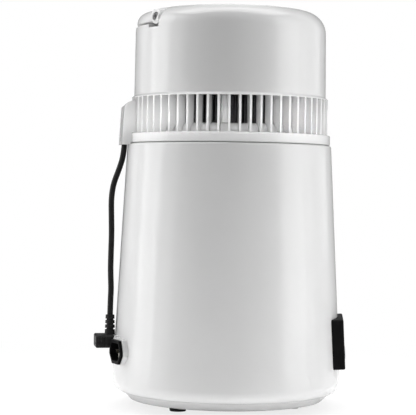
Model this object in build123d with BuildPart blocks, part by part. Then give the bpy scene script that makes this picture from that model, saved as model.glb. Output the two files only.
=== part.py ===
from build123d import *
import math
import os

# Countertop water distiller, in millimetres. The origin is on the table under the body's axis, +Z is up,
# the control panel faces -Y and the sockets are at the rear, toward +Y.

os.makedirs("parts", exist_ok=True)

# Shared clearances
cut_extra = 1.0
seat_gap = 0.15
free_gap = 0.4

# Feet, tray and their screws
foot_height = 6.5
foot_radius = 8.0
foot_tip_radius = 7.2
foot_stem_radius = 3.0
foot_stem_extra = 1.5
foot_inset = 27.2
foot_count = 3
foot_angle = 139.2
tray_height = 7.2
tray_lean = 6.9
tray_inset = 9.84
tray_wall = 2.4
tray_edge_round = 3.0
tray_post_radius = 6.0
tray_slot_width = 3.0
tray_slot_length = 24.0
tray_slot_circle = 32.0
tray_slot_count = 16
screw_inset = 10.0
screw_angle = 70.0
screw_count = 4
screw_head_radius = 3.5
screw_head_height = 2.4
screw_shank_radius = 1.75
screw_length = 15.0
screw_head_sink = 2.6

# Body housing
housing_height = 223.9
housing_taper = 11.74
housing_top_radius = 93.0
housing_wall = 2.8
housing_bottom_round = 10.0
housing_top_round = 2.0
housing_flange_width = 12.0
housing_boss_radius = 5.0
housing_boss_height = 13.0
ledge_depth = 1.6
housing_rim_width = 3.1
ledge_width = 2.7
ledge_height = 3.0

# Boil chamber, hung by its flange
chamber_flange_width = 5.6
chamber_wall = 1.0
chamber_flange_gap = 0.3
chamber_bottom_height = 46.0
chamber_round = 12.0
stud_radius = 3.0
stud_length = 19.0

# Heater under the chamber
plate_radius = 60.0
plate_thickness = 5.0
element_circle = 44.0
element_radius = 3.5
element_sink = 2.5
element_arc = 320.0
element_gap_angle = 130.0
leg_radius = 2.0
leg_length = 12.0
strap_length = 112.0
strap_width = 16.0
strap_thickness = 2.0
nut_across = 10.0
nut_height = 5.0
thermostat_offset = 24.0
thermostat_radius = 8.0
thermostat_height = 8.0
thermostat_ear_length = 26.0
thermostat_ear_width = 7.0
thermostat_ear_thickness = 1.0
thermostat_screw_offset = 10.4
thermostat_screw_radius = 1.4
thermostat_screw_length = 4.6
thermostat_head_radius = 2.3
thermostat_head_height = 1.6
tab_width = 6.3
tab_thickness = 0.8
tab_length = 8.0
tab_offset = 4.0

# Mains inlet at the rear
inlet_angle = 117.9
inlet_height = 51.5
inlet_proud = 6.2
inlet_flange_width = 27.4
inlet_flange_height = 21.0
inlet_flange_top_corner = (4.4, 9.8)
inlet_flange_low_corner = (6.7, 8.2)
inlet_flange_thickness = 2.8
inlet_boss_margin = 1.2
inlet_boss_depth = 9.5
inlet_body_width = 25.6
inlet_body_height = 18.6
inlet_body_top_corner = (3.5, 7.0)
inlet_body_low_corner = (5.2, 6.2)
inlet_cavity_width = 23.6
inlet_cavity_height = 16.0
inlet_cavity_top_corner = (3.1, 6.2)
inlet_cavity_low_corner = (4.5, 5.4)
inlet_cavity_depth = 14.0
inlet_back_wall = 2.0
pin_width = 2.0
pin_height = 4.0
pin_recess = 4.0
pin_spacing = 7.0
pin_earth_drop = 3.2
pin_tail = 5.0

# Fan outlet and the meridian of the duct, cord and plug
fan_side_angle = 103.5
outlet_height = 59.0
outlet_proud = 2.0353
outlet_boss_width = 25.0
outlet_boss_height = 11.4
outlet_boss_depth = 5.6
outlet_flange_width = 22.0
outlet_flange_height = 10.4
outlet_flange_thickness = 1.0
outlet_body_width = 18.4
outlet_body_height = 9.2
outlet_cavity_width = 16.4
outlet_cavity_height = 7.2
outlet_cavity_depth = 11.0
outlet_back_wall = 1.6
outlet_pin_radius = 1.2
outlet_pin_spacing = 8.0
outlet_pin_recess = 1.5
outlet_pin_tail = 2.0

# Fan plug
plug_head_width = 23.0
plug_head_height = 11.8
plug_head_depth = 15.4
plug_head_round = 3.0
plug_rib_count = 4
plug_rib_width = 1.1
plug_rib_pitch = 2.3
plug_rib_height = 7.6
plug_rib_proud = 0.7
plug_rib_margin = 2.6
plug_nose_length = 9.8
plug_stem_offset = 1.75
plug_stem_radius = 4.7
plug_stem_top_radius = 4.0
plug_stem_length = 17.4
plug_stem_groove_radius = 3.1
plug_stem_groove = 1.5
plug_stem_groove_shares = (0.24, 0.48, 0.72)
sleeve_wall = 0.35

# Fan cord, measured from the axis and the table
cord_radius = 2.6
cord_start_inset = 3.8
cord_route = (
    (96.9, 226.5),
    (101.0, 213.5),
    (105.9, 200.5),
    (107.6, 187.0),
    (107.2, 171.5),
    (106.8, 155.0),
    (107.2, 138.0),
    (107.4, 121.5),
    (106.6, 106.5),
    (107.1, 95.5),
)

# Control panel
panel_width = 69.0
panel_height = 44.7
panel_depth = 16.0
panel_proud = 4.9
panel_mid_height = 60.5
panel_corner = 2.2
panel_edge_round = 1.4
panel_wall = 2.2
panel_ridge_length = 20.0
panel_ridge_depth = 1.4
panel_ridge_proud = 1.2
window_width = 46.0
window_height = 15.0
window_thickness = 1.2
window_corner = 1.5
window_raise = 8.6
window_border = 2.0
board_width = 62.0
board_height = 37.0
board_thickness = 1.6
board_depth = 8.2
board_post_radius = 2.6
board_post_inset = 2.8
board_screw_radius = 1.1
board_screw_head_radius = 2.2
board_screw_head_height = 1.6
board_screw_length = 5.0
display_width = 42.0
display_height = 12.0
display_gap = 0.6
button_radius = 5.2
button_proud = 0.5
button_gap = 0.25
button_flange_radius = 6.2
button_flange_height = 0.9
button_travel = 0.8
button_pitch = 14.6
button_drop = 8.6
button_round = 0.35
switch_size = 6.0
switch_plunger_radius = 1.7
switch_plunger_height = 0.8

# Wires in the base
wire_radius = 1.4
cable_radius = 1.8
wire_bend = 5.0
wire_floor_height = 22.0
earth_reach = 54.0
panel_cable_drop = 13.0

# Head: dome, rim and vent fins
head_gap = 0.6
dome_height = 121.8
rim_inset = 1.1
rim_height = 8.6
rim_skirt = 3.3
rim_ledge_width = 8.5
rim_ledge_thickness = 2.5
rim_round = 1.0
slot_height = 31.9
fin_count = 60
fin_phase = 183.2
fin_thickness = 1.9
fin_inset = 2.5
fin_depth = 11.5
fin_overlap = 4.0
collar_edge = 0.6
dome_inset = 4.5
dome_taper = 0.9
dome_wall = 2.6
dome_round = 19.5
crown_drop = 2.6
pillar_inset = 7.9
pillar_radius = 5.0
pillar_angle = 180.0
pillar_count = 3
pillar_top_rise = 22.0
pillar_web = 3.0
intake_count = 24
intake_width = 2.4
intake_length = 24.0
intake_circle = 32.0

# Carrying handle, half a ring let into the dome's edge
handle_middle_angle = 45.0
handle_bar_width = 10.9
handle_outer_inset = 1.2
handle_base_drop = 15.6
handle_thickness = 11.2
handle_outer_round = 9.2
handle_edge_round = 1.4
pivot_offset = 5.4
pivot_drop = 1.0
lug_inset = 3.4
recess_gap = 2.6
recess_floor_gap = 2.2
recess_wall = 2.4
recess_end_gap = 0.9
pocket_width = 15.0
pocket_depth = 3.0
pivot_head_radius = 3.3
pivot_head_height = 1.9
pivot_shank_radius = 2.0
pivot_shank_length = 19.0
pivot_cross_length = 4.0
pivot_cross_width = 1.0
pivot_cross_depth = 0.9
pivot_sink_gap = 0.5
pivot_boss_radius = 4.6
pivot_boss_length = 13.0

# Condenser tray, steam cover and seal
tray_lip_gap = 0.4
tray_lip_round = 8.0
tray_lip_rise = 8.2
tray_flange_width = 5.2
cover_thickness = 0.8
cover_flange_inset = 0.2
cover_dish_inset = 3.6
cover_dish_rise = 9.2
cover_round = 3.0
seal_inner_step = 1.2
seal_outer_inset = 0.6
seal_lip_thickness = 1.8
seal_lip_depth = 6.0
dome_screw_radius = 1.75
dome_screw_length = 24.0
dome_screw_head_radius = 3.4
dome_screw_head_height = 2.2

# Condenser coil and fins
coil_circle = 44.0
coil_tube_radius = 4.0
coil_top_rise = 32.0
coil_end_rise = 9.5
coil_start_angle = 150.0
coil_step_angle = 30.0
coil_step_count = 28
coil_end_gap = 11.9
riser_circle = 28.0
riser_foot = 1.5
bend_share = 0.45
band_radius = 49.0
band_thickness = 0.8
plate_ring_gap = 13.9
plate_ring_height = 34.0
plate_ring_count = 140
plate_ring_thickness = 0.5
coil_way_width = 20.0
coil_way_shift = 5.5

# Outlet port for the removable nozzle
port_angle = 270.0
port_radius = 8.0
port_bore_radius = 5.0
port_bore_length = 14.0
port_tube_radius = 3.0
port_setback = 0.4
port_collar_radius = 10.6
port_collar_thickness = 2.4
port_collar_setback = 1.2

# Fan and motor
shaft_radius = 2.5
shaft_length = 38.0
shaft_running_gap = 0.05
hub_radius = 13.0
hub_height = 15.0
fan_base_rise = 42.0
blade_count = 7
blade_tip_radius = 55.0
blade_root_radius = 11.0
blade_root_chord = 15.0
blade_tip_chord = 24.0
blade_thickness = 1.6
blade_root_pitch = 40.0
blade_tip_pitch = 24.0
clip_radius = 6.0
clip_thickness = 1.4
clip_drop = 0.4
motor_radius = 25.0
motor_height = 26.0
motor_round = 3.0
motor_nose_radius = 8.0
motor_nose_height = 3.6
motor_nose_gap = 1.4
bracket_thickness = 2.0
bracket_hub_radius = 20.0
bracket_arm_width = 10.0
bracket_inset = 12.0
bracket_angle = 90.0
bracket_count = 3
bracket_boss_radius = 4.6
motor_screw_length = 10.0

# Rear duct, gland and fan lead
duct_bottom_drop = 1.9
duct_half_width = 14.0
duct_face_reach = 8.1
duct_top_lean = 2.0
duct_wall = 1.2
duct_floor = 1.9
duct_top_drop = 3.2
duct_shoulder_drop = 5.0
gland_width = 10.0
gland_height = 8.0
lead_radius = 1.9
lead_slot_steps = -13.5
lead_cross_rise = 9.0
lead_rise_gap = 7.4
lead_top_drop = 6.0
lead_bend = 5.5

# Radii that follow from the sizes above
housing_foot_radius = housing_top_radius + housing_taper
tray_top_radius = housing_foot_radius - tray_inset
tray_floor_radius = tray_top_radius - tray_lean
foot_circle = tray_floor_radius - foot_inset
screw_circle = tray_floor_radius - screw_inset
housing_flange_radius = screw_circle - housing_flange_width
ledge_radius = housing_top_radius - housing_rim_width
ledge_inner_radius = ledge_radius - ledge_width
chamber_flange_radius = ledge_radius - chamber_flange_gap
chamber_radius = chamber_flange_radius - chamber_flange_width
rim_radius = housing_top_radius - rim_inset
rim_ledge_radius = rim_radius - rim_ledge_width
fin_outer_radius = rim_radius - fin_inset
fin_inner_radius = fin_outer_radius - fin_depth
dome_foot_radius = rim_radius - dome_inset
dome_top_radius = dome_foot_radius - dome_taper
pillar_circle = fin_inner_radius - pillar_inset
bracket_circle = pillar_circle - bracket_inset
handle_outer_radius = dome_top_radius - handle_outer_inset
handle_inner_radius = handle_outer_radius - handle_bar_width
lug_face = handle_outer_radius - lug_inset
recess_radius = handle_inner_radius - recess_gap
tray_lip_radius = rim_ledge_radius - tray_lip_gap
tray_flange_radius = tray_lip_radius + tray_flange_width
cover_flange_radius = tray_flange_radius - cover_flange_inset
cover_dish_radius = tray_lip_radius - cover_dish_inset
seal_inner_radius = cover_dish_radius + seal_inner_step
seal_outer_radius = cover_flange_radius - seal_outer_inset
plate_ring_radius = fin_inner_radius - plate_ring_gap
coil_end_radius = fin_inner_radius - coil_end_gap
port_face_radius = fin_outer_radius - port_setback
duct_face_radius = rim_radius + duct_face_reach
duct_top_face_radius = duct_face_radius - duct_top_lean
cord_start_radius = duct_face_radius - cord_start_inset
lead_rise_radius = fin_inner_radius - lead_rise_gap

# Heights and slopes that follow from the sizes above
tray_top = foot_height + tray_height
housing_top = tray_top + housing_height
wall_slope = (housing_foot_radius - housing_top_radius) / housing_height
wall_tilt = math.degrees(math.atan(wall_slope))
ledge_top = housing_top - ledge_depth
flange_top = ledge_top + chamber_wall
head_bottom = housing_top + head_gap
rim_top = head_bottom + rim_height
slot_top = rim_top + slot_height
dome_top = head_bottom + dome_height
rim_ledge_bottom = rim_top - rim_ledge_thickness
tray_flange_bottom = rim_ledge_bottom - tray_wall
cover_flange_bottom = tray_flange_bottom - cover_thickness
platform_top = rim_top + tray_lip_rise
platform_bottom = platform_top - tray_wall
plate_bottom = chamber_bottom_height - plate_thickness
element_height = plate_bottom + element_sink - element_radius
strap_top = element_height - element_radius - seat_gap
fan_bottom = platform_top + fan_base_rise
hub_top = fan_bottom + hub_height
motor_bottom = hub_top + motor_nose_gap + motor_nose_height
motor_top = motor_bottom + motor_height
bracket_top = motor_top + bracket_thickness
handle_base_height = dome_top - handle_base_drop
recess_floor_height = handle_base_height - recess_floor_gap
pivot_height = handle_base_height + handle_thickness / 2 - pivot_drop
lug_radius = handle_thickness / 2 + pivot_drop
plug_top = outlet_height + plug_head_height / 2
stem_top = plug_top + plug_stem_length
duct_top_height = slot_top - duct_top_drop
lead_cross_height = platform_top + lead_cross_rise
lead_top_height = motor_top - lead_top_drop
whole_reach = dome_top


def wall_radius(height):
    """Outer radius of the tapered housing at a height."""
    return housing_foot_radius - wall_slope * (height - tray_top)


# Faces of the sockets, the plug and the panel, from the wall that carries them
inlet_face_radius = wall_radius(inlet_height) + inlet_proud
outlet_boss_radius = wall_radius(outlet_height) + outlet_proud
panel_front = wall_radius(panel_mid_height) + panel_proud
plug_face_radius = outlet_boss_radius + outlet_flange_thickness + seat_gap
plug_stem_radius_at = plug_face_radius + plug_stem_offset


def around(radius, angle, height):
    """Point at a radius, an angle about the axis and a height."""
    turn = math.radians(angle)
    return Vector(radius * math.cos(turn), radius * math.sin(turn), height)


def facing(radius, angle, height):
    """Upright plane that looks outward at an angle, its Y upward."""
    turn = math.radians(angle)
    return Plane(
        origin=around(radius, angle, height),
        x_dir=(-math.sin(turn), math.cos(turn), 0),
        z_dir=(math.cos(turn), math.sin(turn), 0),
    )


def level(height):
    """Flat plane at a height, facing up."""
    return Plane.XY.offset(height)


def spin(points, rounds=(), mode=Mode.ADD):
    """Turn a closed outline of (radius, height) points about the axis, some corners rounded."""
    with BuildSketch(Plane.XZ) as outline:
        with BuildLine():
            Polyline(*points, close=True)
        make_face()
        for corner, radius in rounds:
            fillet(outline.vertices().sort_by_distance(Vector(corner[0], corner[1]))[0], radius)
    revolve(outline.sketch, axis=Axis.Z, mode=mode)


def discs(plane, places, radius, length, mode=Mode.ADD):
    """Round pegs or holes at places on a plane."""
    with BuildSketch(plane) as faces:
        with Locations(*places):
            Circle(radius)
    extrude(faces.sketch, amount=length, mode=mode)


def blocks(plane, places, width, height, length, mode=Mode.ADD):
    """Rectangular bars or openings at places on a plane."""
    with BuildSketch(plane) as faces:
        with Locations(*places):
            Rectangle(width, height)
    extrude(faces.sketch, amount=length, mode=mode)


def ring_places(radius, count, start):
    """Places spread evenly on a circle about the axis."""
    step = 360 / count
    return [tuple(around(radius, start + step * place, 0))[:2] for place in range(count)]


def socket_face(plane, width, height, low_corner, top_corner):
    """Outline of an appliance socket, its corners cut off, as a sketch on a plane."""
    right = [
        (width / 2 - low_corner[0], -height / 2),
        (width / 2, low_corner[1] - height / 2),
        (width / 2, height / 2 - top_corner[1]),
        (width / 2 - top_corner[0], height / 2),
    ]
    left = [(-across, up) for across, up in reversed(right)]
    with BuildSketch(plane) as face:
        with BuildLine():
            Polyline(*right, *left, close=True)
        make_face()
    return face.sketch


def tube(points, bends, radius):
    """Round bar swept along straight runs joined by tangent arcs."""
    with BuildLine() as route:
        FilletPolyline(*points, radius=bends)
    path = route.wires()[0]
    with BuildSketch(Plane(origin=path @ 0, z_dir=path % 0)) as section:
        Circle(radius)
    sweep(section.sketch, path=path)
    return path


def soft_bends(points, share):
    """Largest easy bend at each inner point of a route."""
    bends = []
    for before, here, after in zip(points, points[1:], points[2:]):
        way_in = Vector(*here) - Vector(*before)
        way_out = Vector(*after) - Vector(*here)
        half_turn = math.radians(way_in.get_angle(way_out)) / 2
        bends.append(share * min(way_in.length, way_out.length) / math.tan(half_turn))
    return bends


screw_places = ring_places(screw_circle, screw_count, screw_angle)
foot_places = ring_places(foot_circle, foot_count, foot_angle)
pillar_places = ring_places(pillar_circle, pillar_count, pillar_angle)
bracket_places = ring_places(bracket_circle, bracket_count, bracket_angle)
thermostat_places = ((0, thermostat_offset), (0, -thermostat_offset))
inlet_plane = facing(inlet_face_radius, inlet_angle, inlet_height)
outlet_plane = facing(outlet_boss_radius, fan_side_angle, outlet_height)
panel_plane = Plane(
    origin=(0, -panel_front, panel_mid_height),
    x_dir=(1, 0, 0),
    z_dir=(0, -math.cos(math.radians(wall_tilt)), math.sin(math.radians(wall_tilt))),
)
pin_places = ((-pin_spacing, 0), (pin_spacing, 0), (0, -pin_earth_drop))
outlet_pin_places = ((-outlet_pin_spacing / 2, 0), (outlet_pin_spacing / 2, 0))
button_places = [(button_pitch * (place - 1.5), -button_drop) for place in range(4)]
board_post_places = [
    (side * (board_width / 2 - board_post_inset), rise * (board_height / 2 - board_post_inset))
    for side in (-1, 1)
    for rise in (-1, 1)
]
handle_turn = math.radians(handle_middle_angle)
handle_across = Vector(math.sin(handle_turn), -math.cos(handle_turn), 0)
handle_forward = Vector(math.cos(handle_turn), math.sin(handle_turn), 0)


def handle_level(height):
    """Flat plane whose X is the handle's turning axis and whose Y points to the handle's middle."""
    return Plane(origin=(0, 0, height), x_dir=handle_across, z_dir=(0, 0, 1))


def pivot_plane(side, reach):
    """Plane across the handle's turning axis, facing outward on one side."""
    spot = handle_across * (side * reach) + handle_forward * pivot_offset + Vector(0, 0, pivot_height)
    return Plane(origin=spot, x_dir=handle_forward, z_dir=handle_across * side)


def keep_beyond(start, floor):
    """Cut away what lies behind a line across the handle."""
    reach = 2 * housing_foot_radius
    blocks(handle_level(floor), [(0, start - reach / 2)], reach, reach, whole_reach, Mode.SUBTRACT)


# Rubber feet
with BuildPart() as feet:
    with Locations(*[(x, y, 0) for x, y in foot_places]):
        Cone(foot_tip_radius, foot_radius, foot_height, align=(Align.CENTER, Align.CENTER, Align.MIN))
    discs(level(foot_height), foot_places, foot_stem_radius, tray_wall + foot_stem_extra)
feet.part.label = "feet"
export_step(feet.part, "parts/feet.step")

# Base tray with screw posts and air slots
with BuildPart() as base_tray:
    spin(
        (
            (0, foot_height),
            (tray_floor_radius, foot_height),
            (tray_top_radius, tray_top),
            (tray_top_radius - tray_wall, tray_top),
            (tray_floor_radius - tray_wall / 2, foot_height + tray_wall),
            (0, foot_height + tray_wall),
        ),
        (((tray_floor_radius, foot_height), tray_edge_round),),
    )
    discs(level(foot_height), screw_places, tray_post_radius, tray_height)
    discs(level(foot_height), screw_places, screw_shank_radius + seat_gap, tray_height, Mode.SUBTRACT)
    discs(level(foot_height), screw_places, screw_head_radius + free_gap, screw_head_sink, Mode.SUBTRACT)
    discs(level(foot_height), foot_places, foot_stem_radius + seat_gap, tray_wall, Mode.SUBTRACT)
    with BuildSketch(level(foot_height)) as slots:
        with PolarLocations(tray_slot_circle, tray_slot_count):
            SlotOverall(tray_slot_length, tray_slot_width)
    extrude(slots.sketch, amount=tray_wall, mode=Mode.SUBTRACT)
base_tray.part.label = "base_tray"
export_step(base_tray.part, "parts/base_tray.step")

# Tray screws
with BuildPart() as base_screws:
    screw_seat = foot_height + screw_head_sink
    discs(level(screw_seat - screw_head_height), screw_places, screw_head_radius, screw_head_height)
    discs(level(screw_seat), screw_places, screw_shank_radius, screw_length)
base_screws.part.label = "base_screws"
export_step(base_screws.part, "parts/base_screws.step")

# Body housing: tapered wall, bottom flange, ledge for the chamber, bosses for the sockets
with BuildPart() as body_housing:
    inner_foot = housing_foot_radius - housing_wall - wall_slope * housing_wall
    ledge_bottom = ledge_top - ledge_height
    inner_top = wall_radius(ledge_bottom) - housing_wall
    spin(
        (
            (housing_flange_radius, tray_top),
            (housing_foot_radius, tray_top),
            (housing_top_radius, housing_top),
            (ledge_radius, housing_top),
            (ledge_radius, ledge_top),
            (ledge_inner_radius, ledge_top),
            (ledge_inner_radius, ledge_bottom),
            (inner_top, ledge_bottom - (inner_top - ledge_inner_radius)),
            (inner_foot, tray_top + housing_wall),
            (housing_flange_radius, tray_top + housing_wall),
        ),
        (
            ((housing_foot_radius, tray_top), housing_bottom_round),
            ((housing_top_radius, housing_top), housing_top_round),
            ((inner_foot, tray_top + housing_wall), housing_bottom_round - housing_wall),
        ),
    )
    discs(level(tray_top), screw_places, housing_boss_radius, housing_boss_height)
    inlet_boss = inlet_plane.offset(-inlet_flange_thickness)
    extrude(
        socket_face(
            inlet_boss,
            inlet_flange_width + 2 * inlet_boss_margin,
            inlet_flange_height + 2 * inlet_boss_margin,
            inlet_flange_low_corner,
            inlet_flange_top_corner,
        ),
        amount=-inlet_boss_depth,
    )
    blocks(outlet_plane, [(0, 0)], outlet_boss_width, outlet_boss_height, -outlet_boss_depth)
    extrude(
        socket_face(
            inlet_boss,
            inlet_body_width + 2 * seat_gap,
            inlet_body_height + 2 * seat_gap,
            inlet_body_low_corner,
            inlet_body_top_corner,
        ),
        amount=-inlet_boss_depth - cut_extra,
        mode=Mode.SUBTRACT,
    )
    blocks(
        outlet_plane,
        [(0, 0)],
        outlet_body_width + 2 * seat_gap,
        outlet_body_height + 2 * seat_gap,
        -outlet_boss_depth - cut_extra,
        Mode.SUBTRACT,
    )
    with BuildSketch(panel_plane) as panel_opening:
        RectangleRounded(panel_width + 2 * seat_gap, panel_height + 2 * seat_gap, panel_corner)
    extrude(panel_opening.sketch, amount=-panel_depth - cut_extra, mode=Mode.SUBTRACT)
    discs(
        level(tray_top),
        screw_places,
        screw_shank_radius + seat_gap,
        screw_length - tray_height + screw_head_sink,
        Mode.SUBTRACT,
    )
body_housing.part.label = "body_housing"
export_step(body_housing.part, "parts/body_housing.step")

# Boil chamber with its flange and the stud for the heater
with BuildPart() as boil_chamber:
    chamber_inner = chamber_radius - chamber_wall
    chamber_floor = chamber_bottom_height + chamber_wall
    spin(
        (
            (0, chamber_bottom_height),
            (chamber_radius, chamber_bottom_height),
            (chamber_radius, ledge_top),
            (chamber_flange_radius, ledge_top),
            (chamber_flange_radius, flange_top),
            (chamber_inner, flange_top),
            (chamber_inner, chamber_floor),
            (0, chamber_floor),
        ),
        (
            ((chamber_radius, chamber_bottom_height), chamber_round),
            ((chamber_inner, chamber_floor), chamber_round - chamber_wall),
        ),
    )
    discs(level(chamber_bottom_height), [(0, 0)], stud_radius, -stud_length)
boil_chamber.part.label = "boil_chamber"
export_step(boil_chamber.part, "parts/boil_chamber.step")

# Heater plate with the element's groove and the thermostats' screw holes
thermostat_screw_places = [
    (side * thermostat_screw_offset, offset[1]) for side in (-1, 1) for offset in thermostat_places
]
with BuildPart() as heater_plate:
    discs(level(plate_bottom), [(0, 0)], plate_radius, plate_thickness)
    discs(level(plate_bottom), [(0, 0)], stud_radius + seat_gap, plate_thickness, Mode.SUBTRACT)
    with BuildSketch(Plane.XZ) as groove:
        with Locations((element_circle, element_height)):
            Circle(element_radius + free_gap)
    revolve(groove.sketch, axis=Axis.Z, mode=Mode.SUBTRACT)
    discs(
        level(plate_bottom), thermostat_screw_places, thermostat_screw_radius + seat_gap,
        thermostat_screw_length - thermostat_ear_thickness + seat_gap, Mode.SUBTRACT,
    )
heater_plate.part.label = "heater_plate"
export_step(heater_plate.part, "parts/heater_plate.step")

# Tubular heating element, an open ring with two legs
leg_angles = (element_gap_angle - (360 - element_arc) / 2, element_gap_angle + (360 - element_arc) / 2)
with BuildPart() as heater_element:
    leg_side = Plane(
        origin=(0, 0, 0),
        x_dir=around(1, leg_angles[1], 0),
        z_dir=around(1, leg_angles[1] - 90, 0),
    )
    with BuildSketch(leg_side) as ring:
        with Locations((element_circle, element_height)):
            Circle(element_radius)
    revolve(ring.sketch, axis=Axis.Z, revolution_arc=element_arc)
    leg_places = [tuple(around(element_circle, angle, 0))[:2] for angle in leg_angles]
    discs(level(element_height), leg_places, leg_radius, -leg_length)
heater_element.part.label = "heater_element"
export_step(heater_element.part, "parts/heater_element.step")

# Strap and nut that hold the element
with BuildPart() as heater_clamp:
    blocks(level(strap_top), [(0, 0)], strap_length, strap_width, -strap_thickness)
    discs(level(strap_top), [(0, 0)], stud_radius + seat_gap, -strap_thickness, Mode.SUBTRACT)
heater_clamp.part.label = "heater_clamp"
export_step(heater_clamp.part, "parts/heater_clamp.step")

with BuildPart() as clamp_nut:
    with BuildSketch(level(strap_top - strap_thickness)) as hexagon:
        RegularPolygon(nut_across / 2, 6, major_radius=False)
        Circle(stud_radius + seat_gap, mode=Mode.SUBTRACT)
    extrude(hexagon.sketch, amount=-nut_height)
clamp_nut.part.label = "clamp_nut"
export_step(clamp_nut.part, "parts/clamp_nut.step")


def disc_thermostat(place):
    """Disc thermostat under the plate: can, screw ears and two tabs."""
    discs(level(plate_bottom), [place], thermostat_radius, -thermostat_height)
    blocks(level(plate_bottom), [place], thermostat_ear_length, thermostat_ear_width, -thermostat_ear_thickness)
    holes = [(place[0] + side * thermostat_screw_offset, place[1]) for side in (-1, 1)]
    discs(
        level(plate_bottom), holes, thermostat_screw_radius + seat_gap, -thermostat_ear_thickness, Mode.SUBTRACT
    )
    tabs = [(place[0] + side * tab_offset, place[1]) for side in (-1, 1)]
    blocks(level(plate_bottom - thermostat_height), tabs, tab_thickness, tab_width, -tab_length)


# Thermostats and their screws
with BuildPart() as thermal_cutout:
    disc_thermostat(thermostat_places[0])
thermal_cutout.part.label = "thermal_cutout"
export_step(thermal_cutout.part, "parts/thermal_cutout.step")

with BuildPart() as boil_thermostat:
    disc_thermostat(thermostat_places[1])
boil_thermostat.part.label = "boil_thermostat"
export_step(boil_thermostat.part, "parts/boil_thermostat.step")

with BuildPart() as thermostat_screws:
    ear_bottom = plate_bottom - thermostat_ear_thickness
    discs(level(ear_bottom), thermostat_screw_places, thermostat_head_radius, -thermostat_head_height)
    discs(level(ear_bottom), thermostat_screw_places, thermostat_screw_radius, thermostat_screw_length)
thermostat_screws.part.label = "thermostat_screws"
export_step(thermostat_screws.part, "parts/thermostat_screws.step")

# Mains inlet with its cavity, and its three pins
inlet_back = inlet_cavity_depth + inlet_back_wall
with BuildPart() as mains_inlet:
    extrude(
        socket_face(
            inlet_plane,
            inlet_flange_width,
            inlet_flange_height,
            inlet_flange_low_corner,
            inlet_flange_top_corner,
        ),
        amount=-inlet_flange_thickness,
    )
    extrude(
        socket_face(
            inlet_plane,
            inlet_body_width,
            inlet_body_height,
            inlet_body_low_corner,
            inlet_body_top_corner,
        ),
        amount=-inlet_back,
    )
    extrude(
        socket_face(
            inlet_plane,
            inlet_cavity_width,
            inlet_cavity_height,
            inlet_cavity_low_corner,
            inlet_cavity_top_corner,
        ),
        amount=-inlet_cavity_depth,
        mode=Mode.SUBTRACT,
    )
    blocks(
        inlet_plane.offset(-inlet_cavity_depth),
        pin_places,
        pin_width + 2 * seat_gap,
        pin_height + 2 * seat_gap,
        -inlet_back_wall, Mode.SUBTRACT,
    )
mains_inlet.part.label = "mains_inlet"
export_step(mains_inlet.part, "parts/mains_inlet.step")

with BuildPart() as inlet_pins:
    blocks(
        inlet_plane.offset(-pin_recess), pin_places, pin_width, pin_height, pin_recess - inlet_back - pin_tail
    )
inlet_pins.part.label = "inlet_pins"
export_step(inlet_pins.part, "parts/inlet_pins.step")

# Fan outlet and its two pins
outlet_face = outlet_plane.offset(outlet_flange_thickness)
outlet_back = outlet_cavity_depth + outlet_back_wall
with BuildPart() as fan_outlet:
    blocks(outlet_face, [(0, 0)], outlet_flange_width, outlet_flange_height, -outlet_flange_thickness)
    blocks(outlet_face, [(0, 0)], outlet_body_width, outlet_body_height, -outlet_back)
    with BuildSketch(outlet_face) as cavity:
        SlotOverall(outlet_cavity_width, outlet_cavity_height)
    extrude(cavity.sketch, amount=-outlet_cavity_depth, mode=Mode.SUBTRACT)
    discs(
        outlet_face.offset(-outlet_cavity_depth), outlet_pin_places, outlet_pin_radius + seat_gap,
        -outlet_back_wall, Mode.SUBTRACT,
    )
fan_outlet.part.label = "fan_outlet"
export_step(fan_outlet.part, "parts/fan_outlet.step")

with BuildPart() as outlet_pins:
    discs(
        outlet_face.offset(-outlet_pin_recess), outlet_pin_places, outlet_pin_radius,
        outlet_pin_recess - outlet_back - outlet_pin_tail,
    )
outlet_pins.part.label = "outlet_pins"
export_step(outlet_pins.part, "parts/outlet_pins.step")

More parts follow.
